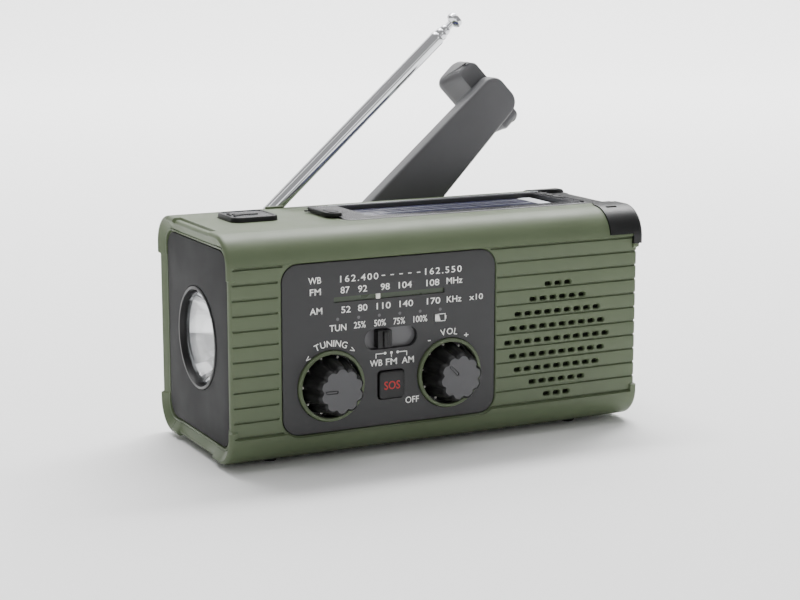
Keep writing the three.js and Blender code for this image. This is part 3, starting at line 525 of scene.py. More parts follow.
def ribbing(x, y, z):                    # how far a groove or the round of a slat stands back
    nearest = min(range(len(grooveZ)), key=lambda i: abs(z - grooveZ[i]))
    away = abs(z - grooveZ[nearest])
    outer = nearest in (0, len(grooveZ) - 1)
    inGroove = 1 - ease(away, case["grooveHalf"] - 0.12, case["grooveHalf"] + 0.12)
    slat = max(0, 1 - away / (case["pitch"] / 2)) ** 3 * case["puff"]
    if not grooveZ[0] - 0.6 < z < grooveZ[-1] + 0.6:
        slat = 0
    reach = 1
    if y < 0:
        left = grooveEnds["leftFirst" if outer else "left"]
        right = grooveEnds["rightFirst" if outer else "right"]
        reach = 1 - between(x, left, right, 0.2)
    reach *= ease(x, -78.2, -77.95)
    if outer:
        reach *= 1 - ease(x, 76.6, 77.0)
    return reach * (slat + case["grooveDeep"] * inGroove)


def setBack(x, y, z, plain):
    rim = ease(abs(x), halfLength - case["rimWidth"] - 0.15, halfLength - case["rimWidth"] + 0.15)
    if abs(y) < case["rimHalfY"] + 4 and (z > topZ - 1 or z < lowZ + 1):
        return case["step"] * rim * between(y, -case["rimHalfY"], case["rimHalfY"], 0.3)
    if plain or abs(y) < 20:
        return 0
    band = between(z, case["bandLow"], case["bandHigh"]) * (1 - rim)
    middle = between(z, case["rimLow"], case["rimHigh"], 0.3)
    return case["step"] * max(band, middle) + ribbing(x, y, z)


def perimeter():                         # points round the case with the way out from each
    radius = case["corner"]
    heights = set()
    for z in grooveZ:
        for away in (0.18, 0.3, 0.42, 0.8, 1.2, 1.7, 2.2, case["pitch"] / 2):
            heights.update((z - away, z + away))
    for z, soft in ((case["bandLow"], 0.15), (case["bandHigh"], 0.15), (case["rimLow"], 0.3),
                    (case["rimHigh"], 0.3)):
        heights.update((z - soft, z, z + soft))
    heights = sorted({round(z, 3) for z in heights})
    low, high = lowZ + radius, topZ - radius
    flat = [z for z in heights if low < z < high]
    extraHigh = [math.asin((z - high) / radius) for z in heights if high < z < high + 4]
    extraLow = [math.asin((low - z) / radius) for z in heights if low - 4 < z < low]
    steps = [math.pi / 2 * i / 16 for i in range(17)]
    rise = sorted(a for a in steps + extraHigh)
    fall = sorted(a for a in steps + extraLow)
    across = [-16.7, -17.3, 16.7, 17.3, 0, -8, 8]
    side = halfDepth - radius

    def bend(sideY, sideZ, angles):      # one rounded corner
        level = high if sideZ > 0 else low
        return [(sideY * (side + radius * math.cos(a)), level + sideZ * radius * math.sin(a),
                 sideY * math.cos(a), sideZ * math.sin(a)) for a in angles]

    points = [(-halfDepth, z, -1, 0) for z in flat] + bend(-1, 1, rise)
    points += [(y, topZ, 0, 1) for y in sorted(across)] + bend(1, 1, reversed(rise))
    points += [(halfDepth, z, 1, 0) for z in reversed(flat)] + bend(1, -1, fall)
    points += [(y, lowZ, 0, -1) for y in sorted(across, reverse=True)] + bend(-1, -1, reversed(fall))
    return points


def caseSkin(name, plain=False):
    edge = halfLength - case["rimWidth"]
    # the grid is close where grooves and rims begin and end
    stations = [-78.2, -77.95, -edge - 0.15, -edge + 0.15, -62.3, -61.9, -60.6, -60.2, -30, 0,
                18.2, 18.6, 20.9, 21.3, 45, 67, 76.6, edge - 0.15, edge + 0.15, 78.2]
    deep = case["end"][-1]
    round_ = perimeter()
    rings = []
    for sideX in (-1, 1):
        for inset, back in reversed(case["end"]):
            ring = []
            for y, z, ny, nz in round_:
                rest = setBack(sideX * (halfLength - 1.35), y, z, plain)
                notch = case["step"] * max(between(z, case["rimLow"], case["rimHigh"],
                                                   0.3) * (abs(ny) > 0.9),
                                           between(y, -case["rimHalfY"], case["rimHalfY"],
                                                   0.3) * (abs(nz) > 0.9))
                far = rest + inset * (deep[0] - rest) / deep[0]
                x = sideX * (halfLength - notch - back * (deep[1] - notch) / deep[1])
                ring.append((x, y - ny * far, z - nz * far))
            rings.append(ring)
        if sideX < 0:
            for x in stations:
                ring = []
                for y, z, ny, nz in round_:
                    rest = setBack(x, y, z, plain)
                    ring.append((x, y - ny * rest, z - nz * rest))
                rings.append(ring)
    split = len(case["end"]) + len(stations)
    rings = rings[:split] + rings[split:][::-1]
    count = len(round_)
    points = [p for ring in rings for p in ring]
    faces = [(r * count + i, r * count + (i + 1) % count, (r + 1) * count + (i + 1) % count,
              (r + 1) * count + i)
             for r in range(len(rings) - 1) for i in range(count)]
    faces += [tuple(range(count)), tuple(range((len(rings) - 1) * count, len(rings) * count))]
    return newPiece(name, points, faces)


def insetOutline(inset):                 # the case's outline, moved in
    half = halfDepth - inset
    return roundRect(-half, half, lowZ + inset, topZ - inset, case["corner"] - inset * 0.8, 12)


def panelOutline(grow):
    return roundRect(panel["left"] - grow, panel["right"] + grow, panel["low"] - grow, panel["high"] + grow,
                     panel["radius"] + grow, 14)


def shellWall(name):                     # the case with its inside taken out and its trays left in
    skin = caseSkin(name)
    lid = lidSize
    inside = plate("inside", insetOutline(case["wall"]), "x", -75.8, 75.8)
    tray = block("tray", lid["left"] - 2.2, 74, lid["front"] - 2, case["split"] - 0.4, 73.2, topZ + 1)
    trough = block("trough", troughSize["left"] - 1.8, troughSize["right"] + 0.8, case["split"] + 0.01,
                   halfDepth + 1,
                   69.6, topZ + 1)
    carve(inside, tray, trough)
    ends = [plate("endHole", insetOutline(5.6), "x", side * 78 - 4, side * 78 + 4) for side in (-1, 1)]
    return carve(skin, inside, *ends)


lidBox = nodeBox("solar_lid")
lidSize = {"left": lidBox[0].x, "right": 70.2, "front": lidBox[0].y, "back": lidBox[1].y, "low": 76.3,
           "top": lidBox[1].z, "gap": 0.3, "shut": 0.55, "corner": 3.6}
troughSize = {"left": -48.5, "right": 65.8, "y": 28.0, "half": 3.4, "low": 71.4}
saddle = {"left": 67.1, "low": 70.4, "rim": 77.0, "rimLow": 66.7, "nearY": -23.0, "stepX": 73.5,
          "proud": 1.0}
buttonBox = nodeBox("light_button")
slots = {"rows": [3, 6, 9, 10, 11, 10, 9, 6, 3], "pitch": 4.05, "length": 2.75, "height": 1.5, "x": 45.9,
         "low": 14.72,
         "rise": 5.0}


def saddleRegion(name, grow):
    left = saddle["left"] - grow
    front, back = lidSize["front"] - lidSize["gap"], lidSize["back"] + lidSize["gap"]
    near = [(left, -40), (left, saddle["nearY"]), (70.1 - grow, front - 0.3 + grow),
            (saddle["stepX"] - grow, front - 0.3 + grow),
            (saddle["stepX"] - grow, back + 0.3 - grow), (left, back + 0.3 - grow), (left, 40), (84, 40),
            (84, -40)]
    high = plate(name, near[::-1], "z", saddle["low"] - grow, 90)
    rim = block("rim", saddle["rim"] - grow, 84, -40, 40, saddle["rimLow"] - grow, saddle["low"] + 2)
    return carve(high, rim, how="UNION")


def speakerCutter():                     # rows of short slots, each with a flared mouth
    half, tall = slots["length"] / 2, slots["height"] / 2
    rows = []
    for row, count in enumerate(slots["rows"]):
        z = slots["low"] + row * slots["rise"]
        outline = roundRect(-half, half, -tall, tall, tall * 0.9, 5)
        seed = loft("slot", "y", [(shrink(outline, -0.5), -36.0), (shrink(outline, -0.5), -33.45),
                                  (outline, -32.85), (outline, -30.2)])
        start = (slots["x"] - (count - 1) / 2 * slots["pitch"], 0, z)
        rows.append(runTree(seed, repeatAlong, Count=count, Start=start, Step=(slots["pitch"], 0, 0),
                            Finish=finish["greenAbs"]))
    return together("speakerCutter", rows)


def buildShell():
    shell = shellWall("mainShellSkin")
    rear = shell.copy()
    rear.name = "rearWall"
    rear.data = shell.data.copy()
    bpy.context.collection.objects.link(rear)
    split = case["split"]
    gap = lidSize["gap"]
    button = plate("buttonHole", roundRect(buttonBox[0].x - gap, buttonBox[1].x + gap, buttonBox[0].y - gap,
                                           buttonBox[1].y + gap, 3.6), "z", 74, 90)
    shut = lidSize["shut"]
    lidHole = plate("lidHole", roundRect(lidSize["left"] - shut, 90, lidSize["front"] - shut,
                                         lidSize["back"] + shut,
                                         lidSize["corner"] + shut), "z", 74.6, 90)
    pocket = loft("pocket", "y", [(panelOutline(0.75), -36), (panelOutline(0.75), -33.35),
                                  (panelOutline(0.3), -32.9),
                                  (panelOutline(0.3), -31.9)])
    through = plate("through", panelOutline(-1.5), "y", -36, -29)
    carve(shell, block("back", -90, 90, split - 0.15, 50, 0, 90), pocket, through, button, lidHole,
          saddleRegion("saddleRoom", 0.15), speakerCutter())
    trough = block("troughHole", troughSize["left"], troughSize["right"],
                   troughSize["y"] - troughSize["half"],
                   troughSize["y"] + troughSize["half"], troughSize["low"], 90)
    hub = plate("hubHole", circle(nodeCentre("crank_bush").x, nodeCentre("crank_bush").z, 4.8), "y", 20, 40)
    screws = [plate("screwHole", circle(nodeCentre(n).x, nodeCentre(n).z, 3.1), "y", 31.2, 40)
              for n in ("rear_screw_left", "rear_screw_right")]
    carve(rear, block("front", -90, 90, -50, split + 0.15, 0, 90), trough, hub,
          saddleRegion("saddleRoom", 0.15),
          *screws)
    lip = plate("lip", roundRect(-42.5, -35.5, 22.9, 24.3, 0.6), "z", topZ - 2, topZ + 0.8, far=0.4)
    rear = together("rearCoverSkin", [rear, lip])
    settle(shell, "case", "greenAbs", ["main_shell"], 32)
    settle(rear, "case", "greenAbs", ["rear_cover"], 32)
    print("case shell made")


buildShell()


def buildSaddle():
    skin = caseSkin("hingeSaddleSkin", plain=True)
    skin = carve(skin, plate("inside", insetOutline(case["wall"]), "x", 60, 77),
                 plate("endHole", insetOutline(5.6), "x", 70, 90))
    proud = saddle["proud"]              # the cover stands this far out of the case
    skin.data.transform(Matrix.Diagonal((1 + proud / halfLength, 1 + proud / 3 / halfDepth,
                                         1 + proud / 3 / topZ, 1)))
    carve(skin, saddleRegion("saddleShape", 0), how="INTERSECT")
    low = block("lowered", 70, 90, lidSize["front"] - 0.3, lidSize["back"] + 0.3, topZ - 1, 90)
    carve(skin, low)
    ears = []
    hingeX, hingeZ = nodeCentre("lid_hinge_pin").x, nodeCentre("lid_hinge_pin").z
    for y in (lidSize["front"], 15.8):
        ear = plate("ear", circle(hingeX, hingeZ, 2.1), "y", y, y + 4.7, 0.3, 0.3)
        ears.append(carve(ear, block("earRoot", hingeX, 74.5, y + 0.02, y + 4.68, 75.9, 78.3), how="UNION"))
    # a moulded slot on the round
    mark = plate("mark", roundRect(69.6, 74.2, -27.2, -26.0, 0.5, 4), "z", 70, 90)
    carve(skin, carve(mark, plate("keep", [(60, -40), (90, -40), (90, 0), (60, 0)], "z", 77.3, 90),
                      how="INTERSECT"))
    settle(together("hingeSaddleSkin", [skin] + ears), "case", "blackAbs", ["hinge_saddle"],
           32)
    print("saddle made")


buildSaddle()


# dial panel
dial = {"left": -41.7, "right": 0.3, "z": 55.9, "half": 0.95, "floor": -31.9}
bandSlot = {"left": -30.3, "right": -10.3, "low": 37.4, "high": 44.7, "floor": -30.9}
ring = {"outer": 12.2, "inner": 10.9, "rise": 1.1}
sosBox = nodeBox("sos_button")
sosSize = {"x": (sosBox[0].x + sosBox[1].x) / 2, "z": (sosBox[0].z + sosBox[1].z) / 2, "half": 4.8}
knobPlace = {"tuning": nodeCentre("tuning_ring"), "volume": nodeCentre("volume_ring")}


def buildPanel():
    body = plate("frontPanelSkin", panelOutline(0), "y", panel["face"], -31.95, 0.35)
    holes = []
    for place in knobPlace.values():
        holes.append(plate("knobHole", circle(place.x, place.z, ring["outer"] + 0.25, 72), "y", -40, -20))
    slot = roundRect(bandSlot["left"], bandSlot["right"], bandSlot["low"], bandSlot["high"], 3.6, 10)
    holes.append(plate("bandHole", slot, "y", -40, -20))
    gap = sosSize["half"] + 0.35
    holes.append(plate("sosHole", roundSquare(sosSize["x"], sosSize["z"], gap, 1.5, 6), "y", -40, -20))
    holes.append(plate("dialHole", roundRect(dial["left"], dial["right"], dial["z"] - dial["half"],
                                             dial["z"] + dial["half"], 0.5, 4), "y", -40, -20))
    carve(body, *holes)
    settle(body, "case", "panelAbs", ["front_panel"], 30)
    # behind the openings: the dial's bar, the switch's floor and the black well of the SOS button
    # the bar's finish has the case's green reflection painted into its colour
    bar = plate("dialBar", roundRect(dial["left"] - 1, dial["right"] + 1, dial["z"] - 1.6,
                                     dial["z"] + 1.6, 0.5, 3), "y",
                -32.3, -31.5)
    settle(bar, "case", "dialWindowWithPaintedCaseReflection")
    floor = plate("bandSwitchFloor", shrink(slot, -0.8), "y", bandSlot["floor"], bandSlot["floor"] + 0.8)
    settle(floor, "case", "padAbs")
    # a lining that gives the slot its depth
    lining = carve(plate("bandSwitchLining", shrink(slot, -0.9), "y", -32.0, bandSlot["floor"]),
                   plate("liningHole", slot, "y", -40, -20))
    settle(lining, "case", "blackAbs")
    well = plate("sosWell", roundRect(sosSize["x"] - gap - 1, sosSize["x"] + gap + 1,
                                      sosSize["z"] - gap - 1,
                                      sosSize["z"] + gap + 1, 1.5, 4), "y", -30.6, -29.9)
    settle(carve(well, plate("wellHole", roundRect(sosSize["x"] - gap + 0.1, sosSize["x"] + gap - 0.1,
                                                   sosSize["z"] - gap + 0.1, sosSize["z"] + gap - 0.1,
                                                   1.4, 4), "y",
                             -40, -20)), "case", "blackAbs")
    cloth = plate("grilleCloth", roundRect(slots["x"] - 24, slots["x"] + 24, slots["low"] - 3,
                                           slots["low"] + 43, 9, 8),
                  "y", -31.0, -30.5)
    settle(cloth, "case", "grilleCloth")
    print("panel made")


buildPanel()


def buildKnob(key, markAngle):
    size = {"base": 10.5, "face": 8.25, "height": 11.4, "lobes": 10.0, "dip": 0.95, "edge": 0.75}
    place = knobPlace[key]
    low, high = nodeBox(key + "_knob")
    seed = newPiece(key + "KnobSkin", [(0, 0, 0), (1, 0, 0), (0, 1, 0)], [(0, 1, 2)])
    knob = runTree(seed, flutedKnob, Base=size["base"], Face=size["face"], Height=size["height"],
                   Lobes=size["lobes"], Dip=size["dip"], Edge=size["edge"], Finish=finish["knobAbs"])
    form = bmesh.new()
    form.from_mesh(knob.data)
    bmesh.ops.remove_doubles(form, verts=form.verts, dist=1e-4)
    form.to_mesh(knob.data)
    form.free()
    # stood on the panel, with a flute in line with the mark
    turned = math.radians(markAngle + 180 / size["lobes"])
    knob.data.transform(Matrix.Translation((place.x, low.y + size["height"], place.z))
                        @ Matrix.Rotation(math.pi / 2, 4, "X") @ Matrix.Rotation(turned, 4, "Z"))
    face = low.y
    slot = plate("slot", roundRect(1.4, 6.1, -0.62, 0.62, 0.6, 5), "y", face - 1, face + 0.45)
    tongue = plate("tongue", roundRect(1.75, 5.75, -0.3, 0.3, 0.28, 5), "y", face + 0.02, face + 1, 0.1)
    for part in (slot, tongue):
        tilt(part, 0, 0, markAngle)
        part.data.transform(Matrix.Translation((place.x, 0, place.z)))
    spindle = plate("spindle", circle(place.x, place.z, 2.9, 24), "y", low.y + size["height"] - 0.5, high.y)
    knob = together(key + "KnobSkin", [carve(knob, slot), tongue, spindle])
    settle(knob, key + "_dial", None, [key + "_knob"], 38)
    # the fluted side is blacker than the face
    knob.data.materials.clear()
    knob.data.materials.append(finish["blackAbs"])
    knob.data.materials.append(finish["knobAbs"])
    for polygon in knob.data.polygons:
        polygon.material_index = 1 if polygon.normal.y < -0.75 else 0
    # the ring round it
    tall = panel["face"] - ring["rise"]
    profile = [(ring["inner"], tall + 0.25), (ring["inner"] + 0.2, tall), (ring["outer"] - 0.3, tall),
               (ring["outer"], tall + 0.35), (ring["outer"], -29.2), (3.4, -29.2), (3.4, -30.2),
               (ring["inner"], -30.2), (ring["inner"], tall + 0.25)]
    band = lathe(key + "RingSkin", "y", (place.x, place.z), profile, 96)
    settle(band, "case", "greenAbs", [key + "_ring"], 40)
    floor = lathe(key + "Well", "y", (place.x, place.z),
                  [(3.5, -30.5), (11.0, -30.5), (11.0, -30.25), (3.5, -30.25),
                                                          (3.5, -30.5)], 48)
    settle(floor, "case", "blackAbs")
    wall = lathe(key + "WellWall", "y", (place.x, place.z), [(10.8, -33.4), (11.05, -33.4), (11.05, -30.6),
                                                             (10.8, -30.6), (10.8, -33.4)], 72)
    settle(wall, "case", "blackAbs")
    # a white dot at the foot of each flute: a painted highlight standing in for the glint of light at each
    # flute's root
    dot = lathe("dot", "y", (0, 0), [(0, -0.4), (0.3, -0.35), (0.48, 0), (0, 0.1)], 10)
    glintDots = runTree(dot, repeatRound, Count=int(size["lobes"]), Radius=9.85,
                   Turn=(math.pi / 2, math.radians(-markAngle), 0),
                   Centre=(place.x, -31.6, place.z), Finish=finish["whiteAcetal"])
    glintDots.name = key + "KnobPaintedGlints"
    settle(glintDots, key + "_dial")


buildKnob("tuning", 180)
buildKnob("volume", 135)
print("knobs made")


def buildBandSlider():
    low, high = nodeBox("band_slider")
    cap = plate("bandSliderSkin", roundRect(low.x + 0.95, high.x - 0.95, low.z, high.z, 0.5, 4), "y",
                low.y, -30.9, 0.25)
    rib = plate("rib", roundRect(low.x + 2.9, high.x - 2.6, low.z + 0.3, high.z - 0.3, 0.4, 3), "y",
                low.y - 0.9,
                low.y + 0.5, 0.3)
    settle(together("bandSliderSkin", [cap, rib]), "band_key", "blackAbs", ["band_slider"])


def buildSosButton():
    half = sosSize["half"]
    button = plate("sosButtonSkin", roundSquare(sosSize["x"], sosSize["z"], half, 1.3, 6), "y",
                   sosBox[0].y, sosBox[1].y - 1.4, 0.4)
    settle(button, "sos_key", "blackAbs", ["sos_button"])


def buildLightButton():                  # a black pad with a raised border round a lighter face
    low, high = nodeBox("light_button")
    outer = roundRect(low.x, high.x, low.y, high.y, 3.4)
    pad = loft("lightButtonSkin", "z", [(outer, low.z), (outer, high.z - 0.7),
                                        (shrink(outer, 0.1), high.z - 0.3),
                                        (shrink(outer, 0.35), high.z - 0.05), (shrink(outer, 0.7), high.z),
                                        (shrink(outer, 1.0), high.z - 0.02),
                                        (shrink(outer, 1.2), high.z - 0.3)])
    settle(pad, "light_key", "blackAbs", ["light_button"])
    face = plate("lightButtonFace", shrink(outer, 1.25), "z", high.z - 0.5, high.z - 0.24)
    settle(face, "light_key", "lidAbs")
    # its sign: a hand lamp with rays
    x, y = (low.x + high.x) / 2, (low.y + high.y) / 2
    signLow, signHigh = high.z - 0.3, high.z + 0.02
    strokes = [plate("s", roundRect(x - 2.4, x + 3.6, y - 1.2, y + 1.2, 0.5, 4), "z", signLow, signHigh,
                     far=0.1),
               plate("s", [(x - 5.0, y - 2.3), (x - 2.6, y - 1.3), (x - 2.6, y + 1.3),
                           (x - 5.0, y + 2.3)], "z",
                     signLow, signHigh)]
    for turn in (-28, 0, 28):
        ray = plate("s", roundRect(-7.4, -5.9, -0.25, 0.25, 0.2, 3), "z", signLow, signHigh)
        ray.data.transform(Matrix.Translation((x, y, 0)) @ Matrix.Rotation(math.radians(turn), 4, "Z"))
        strokes.append(ray)
    settle(together("lightButtonSign", strokes), "light_key", "rubber")
    print("controls made")


buildBandSlider()
buildSosButton()
buildLightButton()


# lettering, as thin printed film on the panel
def glyphs(words, spacing=1.0, weight=0.007):
    curve = bpy.data.curves.new("words", "FONT")
    curve.body = words
    curve.size = 1
    curve.space_character = spacing
    curve.resolution_u = 3
    curve.extrude = 0.01
    curve.offset = weight
    holder = bpy.data.objects.new("words", curve)
    bpy.context.collection.objects.link(holder)
    graph = bpy.context.evaluated_depsgraph_get()
    graph.update()
    mesh = bpy.data.meshes.new_from_object(holder.evaluated_get(graph))
    bpy.data.objects.remove(holder)
    made = bpy.data.objects.new("words", mesh)
    bpy.context.collection.objects.link(made)
    return made


def spread(piece):
    xs = [v.co.x for v in piece.data.vertices]
    ys = [v.co.y for v in piece.data.vertices]
    return min(xs), max(xs), min(ys), max(ys)


capitals = glyphs("H")
capHeight = spread(capitals)[3]
bpy.data.objects.remove(capitals)


def printed(words, x, z, height, width=None, spacing=1.0, turn=0, face=None):
    piece = glyphs(words, spacing)
    left, right = spread(piece)[:2]
    up = height / capHeight
    side = up if width is None else width / (right - left)
    face = panel["face"] if face is None else face
    place = (Matrix.Translation((x, face, z)) @ Matrix.Rotation(math.radians(-turn), 4, "Y")
             @ Matrix.Rotation(math.pi / 2, 4, "X") @ Matrix.Diagonal((side, up, 3, 1))
             @ Matrix.Translation((-(left + right) / 2, -capHeight / 2, 0)))
    piece.data.transform(place)
    return piece


def arcWords(words, centre, radius, height, gap):
    made = [glyphs(letter) for letter in words]
    widths = [(spread(piece)[1] - spread(piece)[0]) * height / capHeight for piece in made]
    for piece in made:
        bpy.data.objects.remove(piece)
    made = []
    along = -(sum(widths) + gap * (len(words) - 1)) / 2
    for letter, width in zip(words, widths):
        a = (along + width / 2) / radius
        made.append(printed(letter, centre.x + radius * math.sin(a), centre.z + radius * math.cos(a),
                            height,
                            turn=-math.degrees(a)))
        along += width + gap
    return made


film = (panel["face"] - 0.03, panel["face"] + 0.02)     # printed ink, front to back


def stroke(x0, x1, z0, z1):
    return block("stroke", x0, x1, *film, z0, z1)


def buildLettering():
    tall, small = 2.2, 2.0               # two sizes of letter
    arcRadius = 14.6
    # text, place and width
    words = [
        ("WB", -48.6, 63.1, 4.7), ("FM", -48.4, 59.2, 4.0), ("AM", -48.2, 52.7, 4.5),
        ("87", -37.5, 59.1, 3.3), ("92", -31.0, 59.0, 3.4), ("98", -22.5, 59.0, 3.4),
        ("104", -14.9, 59.0, 5.0), ("108", -4.3, 58.9, 5.0), ("MHz", 4.1, 59.0, 6.2),
        ("52", -37.2, 52.4, 3.5), ("80", -31.0, 52.5, 3.5), ("110", -23.1, 52.5, 5.3),
        ("140", -14.5, 52.5, 5.2), ("170", -4.0, 52.5, 5.2), ("KHz", 4.0, 52.5, 5.7),
        ("TUN", -40.2, 46.4, 6.2), ("25%", -32.1, 46.7, 4.4), ("50%", -24.5, 46.7, 4.4),
        ("75%", -17.2, 46.7, 4.4), ("100%", -9.1, 46.7, 5.3),
        ("WB", -26.0, 32.8, 4.7), ("FM", -20.2, 32.8, 4.2), ("AM", -13.9, 32.8, 4.6),
        ("OFF", -12.2, 18.6, 5.2),
    ]
    made = [printed(text, x, z, tall, width) for text, x, z, width in words]
    made.append(printed("x10", 12.7, 52.5, small, 5.4))
    made.append(printed("162.400", -32.2, 62.9, tall, 14.2, 1.25))
    made.append(printed("162.550", -0.2, 62.9, tall, 14.2, 1.25))
    made += arcWords("TUNING", knobPlace["tuning"], arcRadius, tall, 0.42)
    made += arcWords("VOL", knobPlace["volume"], arcRadius, tall, 0.5)
    made.append(printed("<", -51.3, 36.7, small, 1.7, turn=38))
    made.append(printed(">", -34.8, 38.3, small, 1.7, turn=-32))
    made.append(printed("-", -5.6, 39.0, small, 1.1))
    made.append(printed("+", 8.9, 39.3, small, 1.7))
    # the switch's three places: a dot each, and a line from it to its name
    y = panel["face"]
    for x in (-22.6, -20.2, -17.8):
        made.append(lathe("dot", "y", (x, 35.9),
                          [(0, film[0]), (0.5, film[0]), (0.5, film[1]), (0, film[1])], 16))
    made += [stroke(-26.2, -22.6, 35.75, 36.05), stroke(-26.2, -25.9, 34.4, 36.05),
             stroke(-20.35, -20.05, 34.4, 35.9),
             stroke(-17.8, -14.2, 35.75, 36.05), stroke(-14.5, -14.2, 34.4, 36.05)]
    # the battery sign: an outline, a pip and a slanted fill
    made += [stroke(-3.6, 0.6, 47.5, 47.75), stroke(-3.6, 0.6, 45.05, 45.3),
             stroke(-3.6, -3.35, 45.05, 47.75),
             stroke(0.4, 0.65, 45.05, 47.75), stroke(0.65, 0.95, 45.8, 47.0)]
    made.append(plate("fill", [(-3.6, 45.1), (-1.2, 45.1), (-2.0, 47.7), (-3.6, 47.7)], "y", *film))
    dash = stroke(-0.65, 0.65, 62.75, 63.05)
    made.append(runTree(dash, repeatAlong, Count=5, Start=(-23.2, 0, 0), Step=(3.35, 0, 0),
                        Finish=finish["whiteInk"]))
    settle(together("panelLettering", made), "case", "whiteInk", sharp=60)
    letters = printed("SOS", sosSize["x"], sosSize["z"] - 0.1, 2.8, 6.0, face=sosBox[0].y)
    letters.name = "sosLettering"
    settle(letters, "sos_key", "redInk", sharp=60)
    lamp = lathe("lamp", "y", (0, 49.3), [(0, y - 0.02), (0.55, y - 0.02), (0.55, y + 0.02),
                                          (0, y + 0.02)], 16)
    lamps = runTree(lamp, repeatAlong, Count=6, Start=(-40.3, 0, 0), Step=(7.78, 0, 0),
                    Finish=finish["padAbs"])
    lamps.name = "levelLamps"
    settle(lamps, "case")
    print("lettering made")


buildLettering()
low, high = nodeBox("dial_pointer")
settle(plate("dialPointerSkin", roundRect(low.x + 2.25, high.x - 2.25, 54.95, 56.85, 0.25, 4), "y", -32.9,
             -30.0, 0.15),
       "pointer", "whiteAcetal", ["dial_pointer"])


# ends of the case, and the torch in the left one
torch = {"z": nodeCentre("torch_bezel").z, "mouth": 16.0, "mouthX": -74.9, "throat": 3.2, "deep": 14.0,
         "hole": 18.1,
         "ring": 16.7, "face": -78.35}


def buildEnds():
    for side, name, replaced in ((-1, "leftEndPanelSkin", "left_end_panel"),
                                 (1, "rightEndPanelSkin", "right_end_panel")):
        outer, inner, flange = side * 78.0, side * 74.3, side * 75.5
        outline = insetOutline(5.75)
        edges = (0.3, 0) if side < 0 else (0, 0.3)
        body = plate(name, outline, "x", min(outer, inner), max(outer, inner), *edges)
        body = together(name, [body, plate("lip", insetOutline(5.0), "x", min(inner, flange),
                                           max(inner, flange))])
        if side < 0:
            carve(body, plate("torchHole", circle(0, torch["z"], torch["hole"], 96), "x", -90, -60))
        else:
            carve(body, block("usbHole", 60, 90, -9.3, 4.3, 34.2, 41.3),
                  block("chargeHole", 60, 90, 5.7, 14.3, 35.7, 39.9))
        settle(body, "case", "endAbs", [replaced])
    z = torch["z"]
    outer = torch["hole"] - 0.25
    ring_, face = torch["ring"], torch["face"]
    profile = [(ring_, face + 0.2), (ring_ + 0.15, face), (outer - 0.25, face), (outer, face + 0.2),
               (outer, -73.4),
               (ring_, -73.4), (ring_, face + 0.2)]
    settle(lathe("torchBezelSkin", "x", (0, z), profile, 96), "case", "blackAbs",
           ["torch_bezel"], 40)
    steps = 24
    inner, back = [], []
    for i in range(steps + 1):
        radius = torch["mouth"] + (torch["throat"] - torch["mouth"]) * i / steps
        x = torch["mouthX"] + torch["deep"] * (1 - (radius / torch["mouth"]) ** 2) ** 0.9
        inner.append((radius, x))
        back.append((radius + 0.15, x + 1.0))
    profile = inner + back[::-1] + [inner[0]]
    settle(lathe("torchReflectorSkin", "x", (0, z), profile, 96), "case", "mirrorCoat",
           ["torch_reflector"], 50)
    lens = lathe("torchLensSkin", "x", (0, z), [(0, -76.6), (15.2, -76.5), (16.0, -76.3), (16.0, -75.4),
                                                (0, -75.4)], 72)
    settle(lens, "case", "lens", ["torch_lens"], 30)
    dome = [(0, -62.6), (1.2, -62.4), (2.0, -61.8), (2.5, -60.8), (2.5, -59), (0, -59)]
    led = together("torchLedSkin", [lathe("dome", "x", (0, z), dome, 32),
                                    plate("board", circle(0, z, 8, 40), "x", -59.2, -57.8)])
    settle(led, "case", "creamAcetal", ["torch_led"])
    print("ends and torch made")


buildEnds()


# lid with its cells
cell = {"left": -16.8, "right": 64.5, "front": -9.5, "back": 18.0, "floor": 77.4,
        "strips": 12, "first": -13.2, "pitch": 5.85}


def buildLid():
    outline = roundRect(lidSize["left"], lidSize["right"] + 8, lidSize["front"], lidSize["back"],
                        lidSize["corner"])
    body = plate("solarLidSkin", outline, "z", lidSize["low"], lidSize["top"], 0.3, 0.5)
    mouth = roundRect(cell["left"], cell["right"], cell["front"], cell["back"], 0.8, 4)
    pocket = loft("pocket", "z", [(mouth, cell["floor"]), (mouth, lidSize["top"] - 0.3),
                                  (shrink(mouth, -0.6), lidSize["top"] + 0.3), (shrink(mouth, -0.6), 90)])
    over = block("over", lidSize["right"], 90, -50, 50, 60, 90)
    earRoom = [block("earRoom", 67.7, 90, -50, -11.0, 60, 90), block("earRoom", 67.7, 90, 15.5, 50, 60, 90)]
    carve(body, over, pocket, *earRoom)
    hingeX, hingeZ = nodeCentre("lid_hinge_pin").x, nodeCentre("lid_hinge_pin").z
    barrel = plate("barrel", circle(hingeX, hingeZ, 2.1), "y", -11.0, 15.5, 0.3, 0.3)
    carve(body, barrel, how="UNION")
    carve(body, plate("bore", circle(hingeX, hingeZ, 1.15), "y", -30, 30))
    settle(body, "lid", "lidAbs", ["solar_lid"])


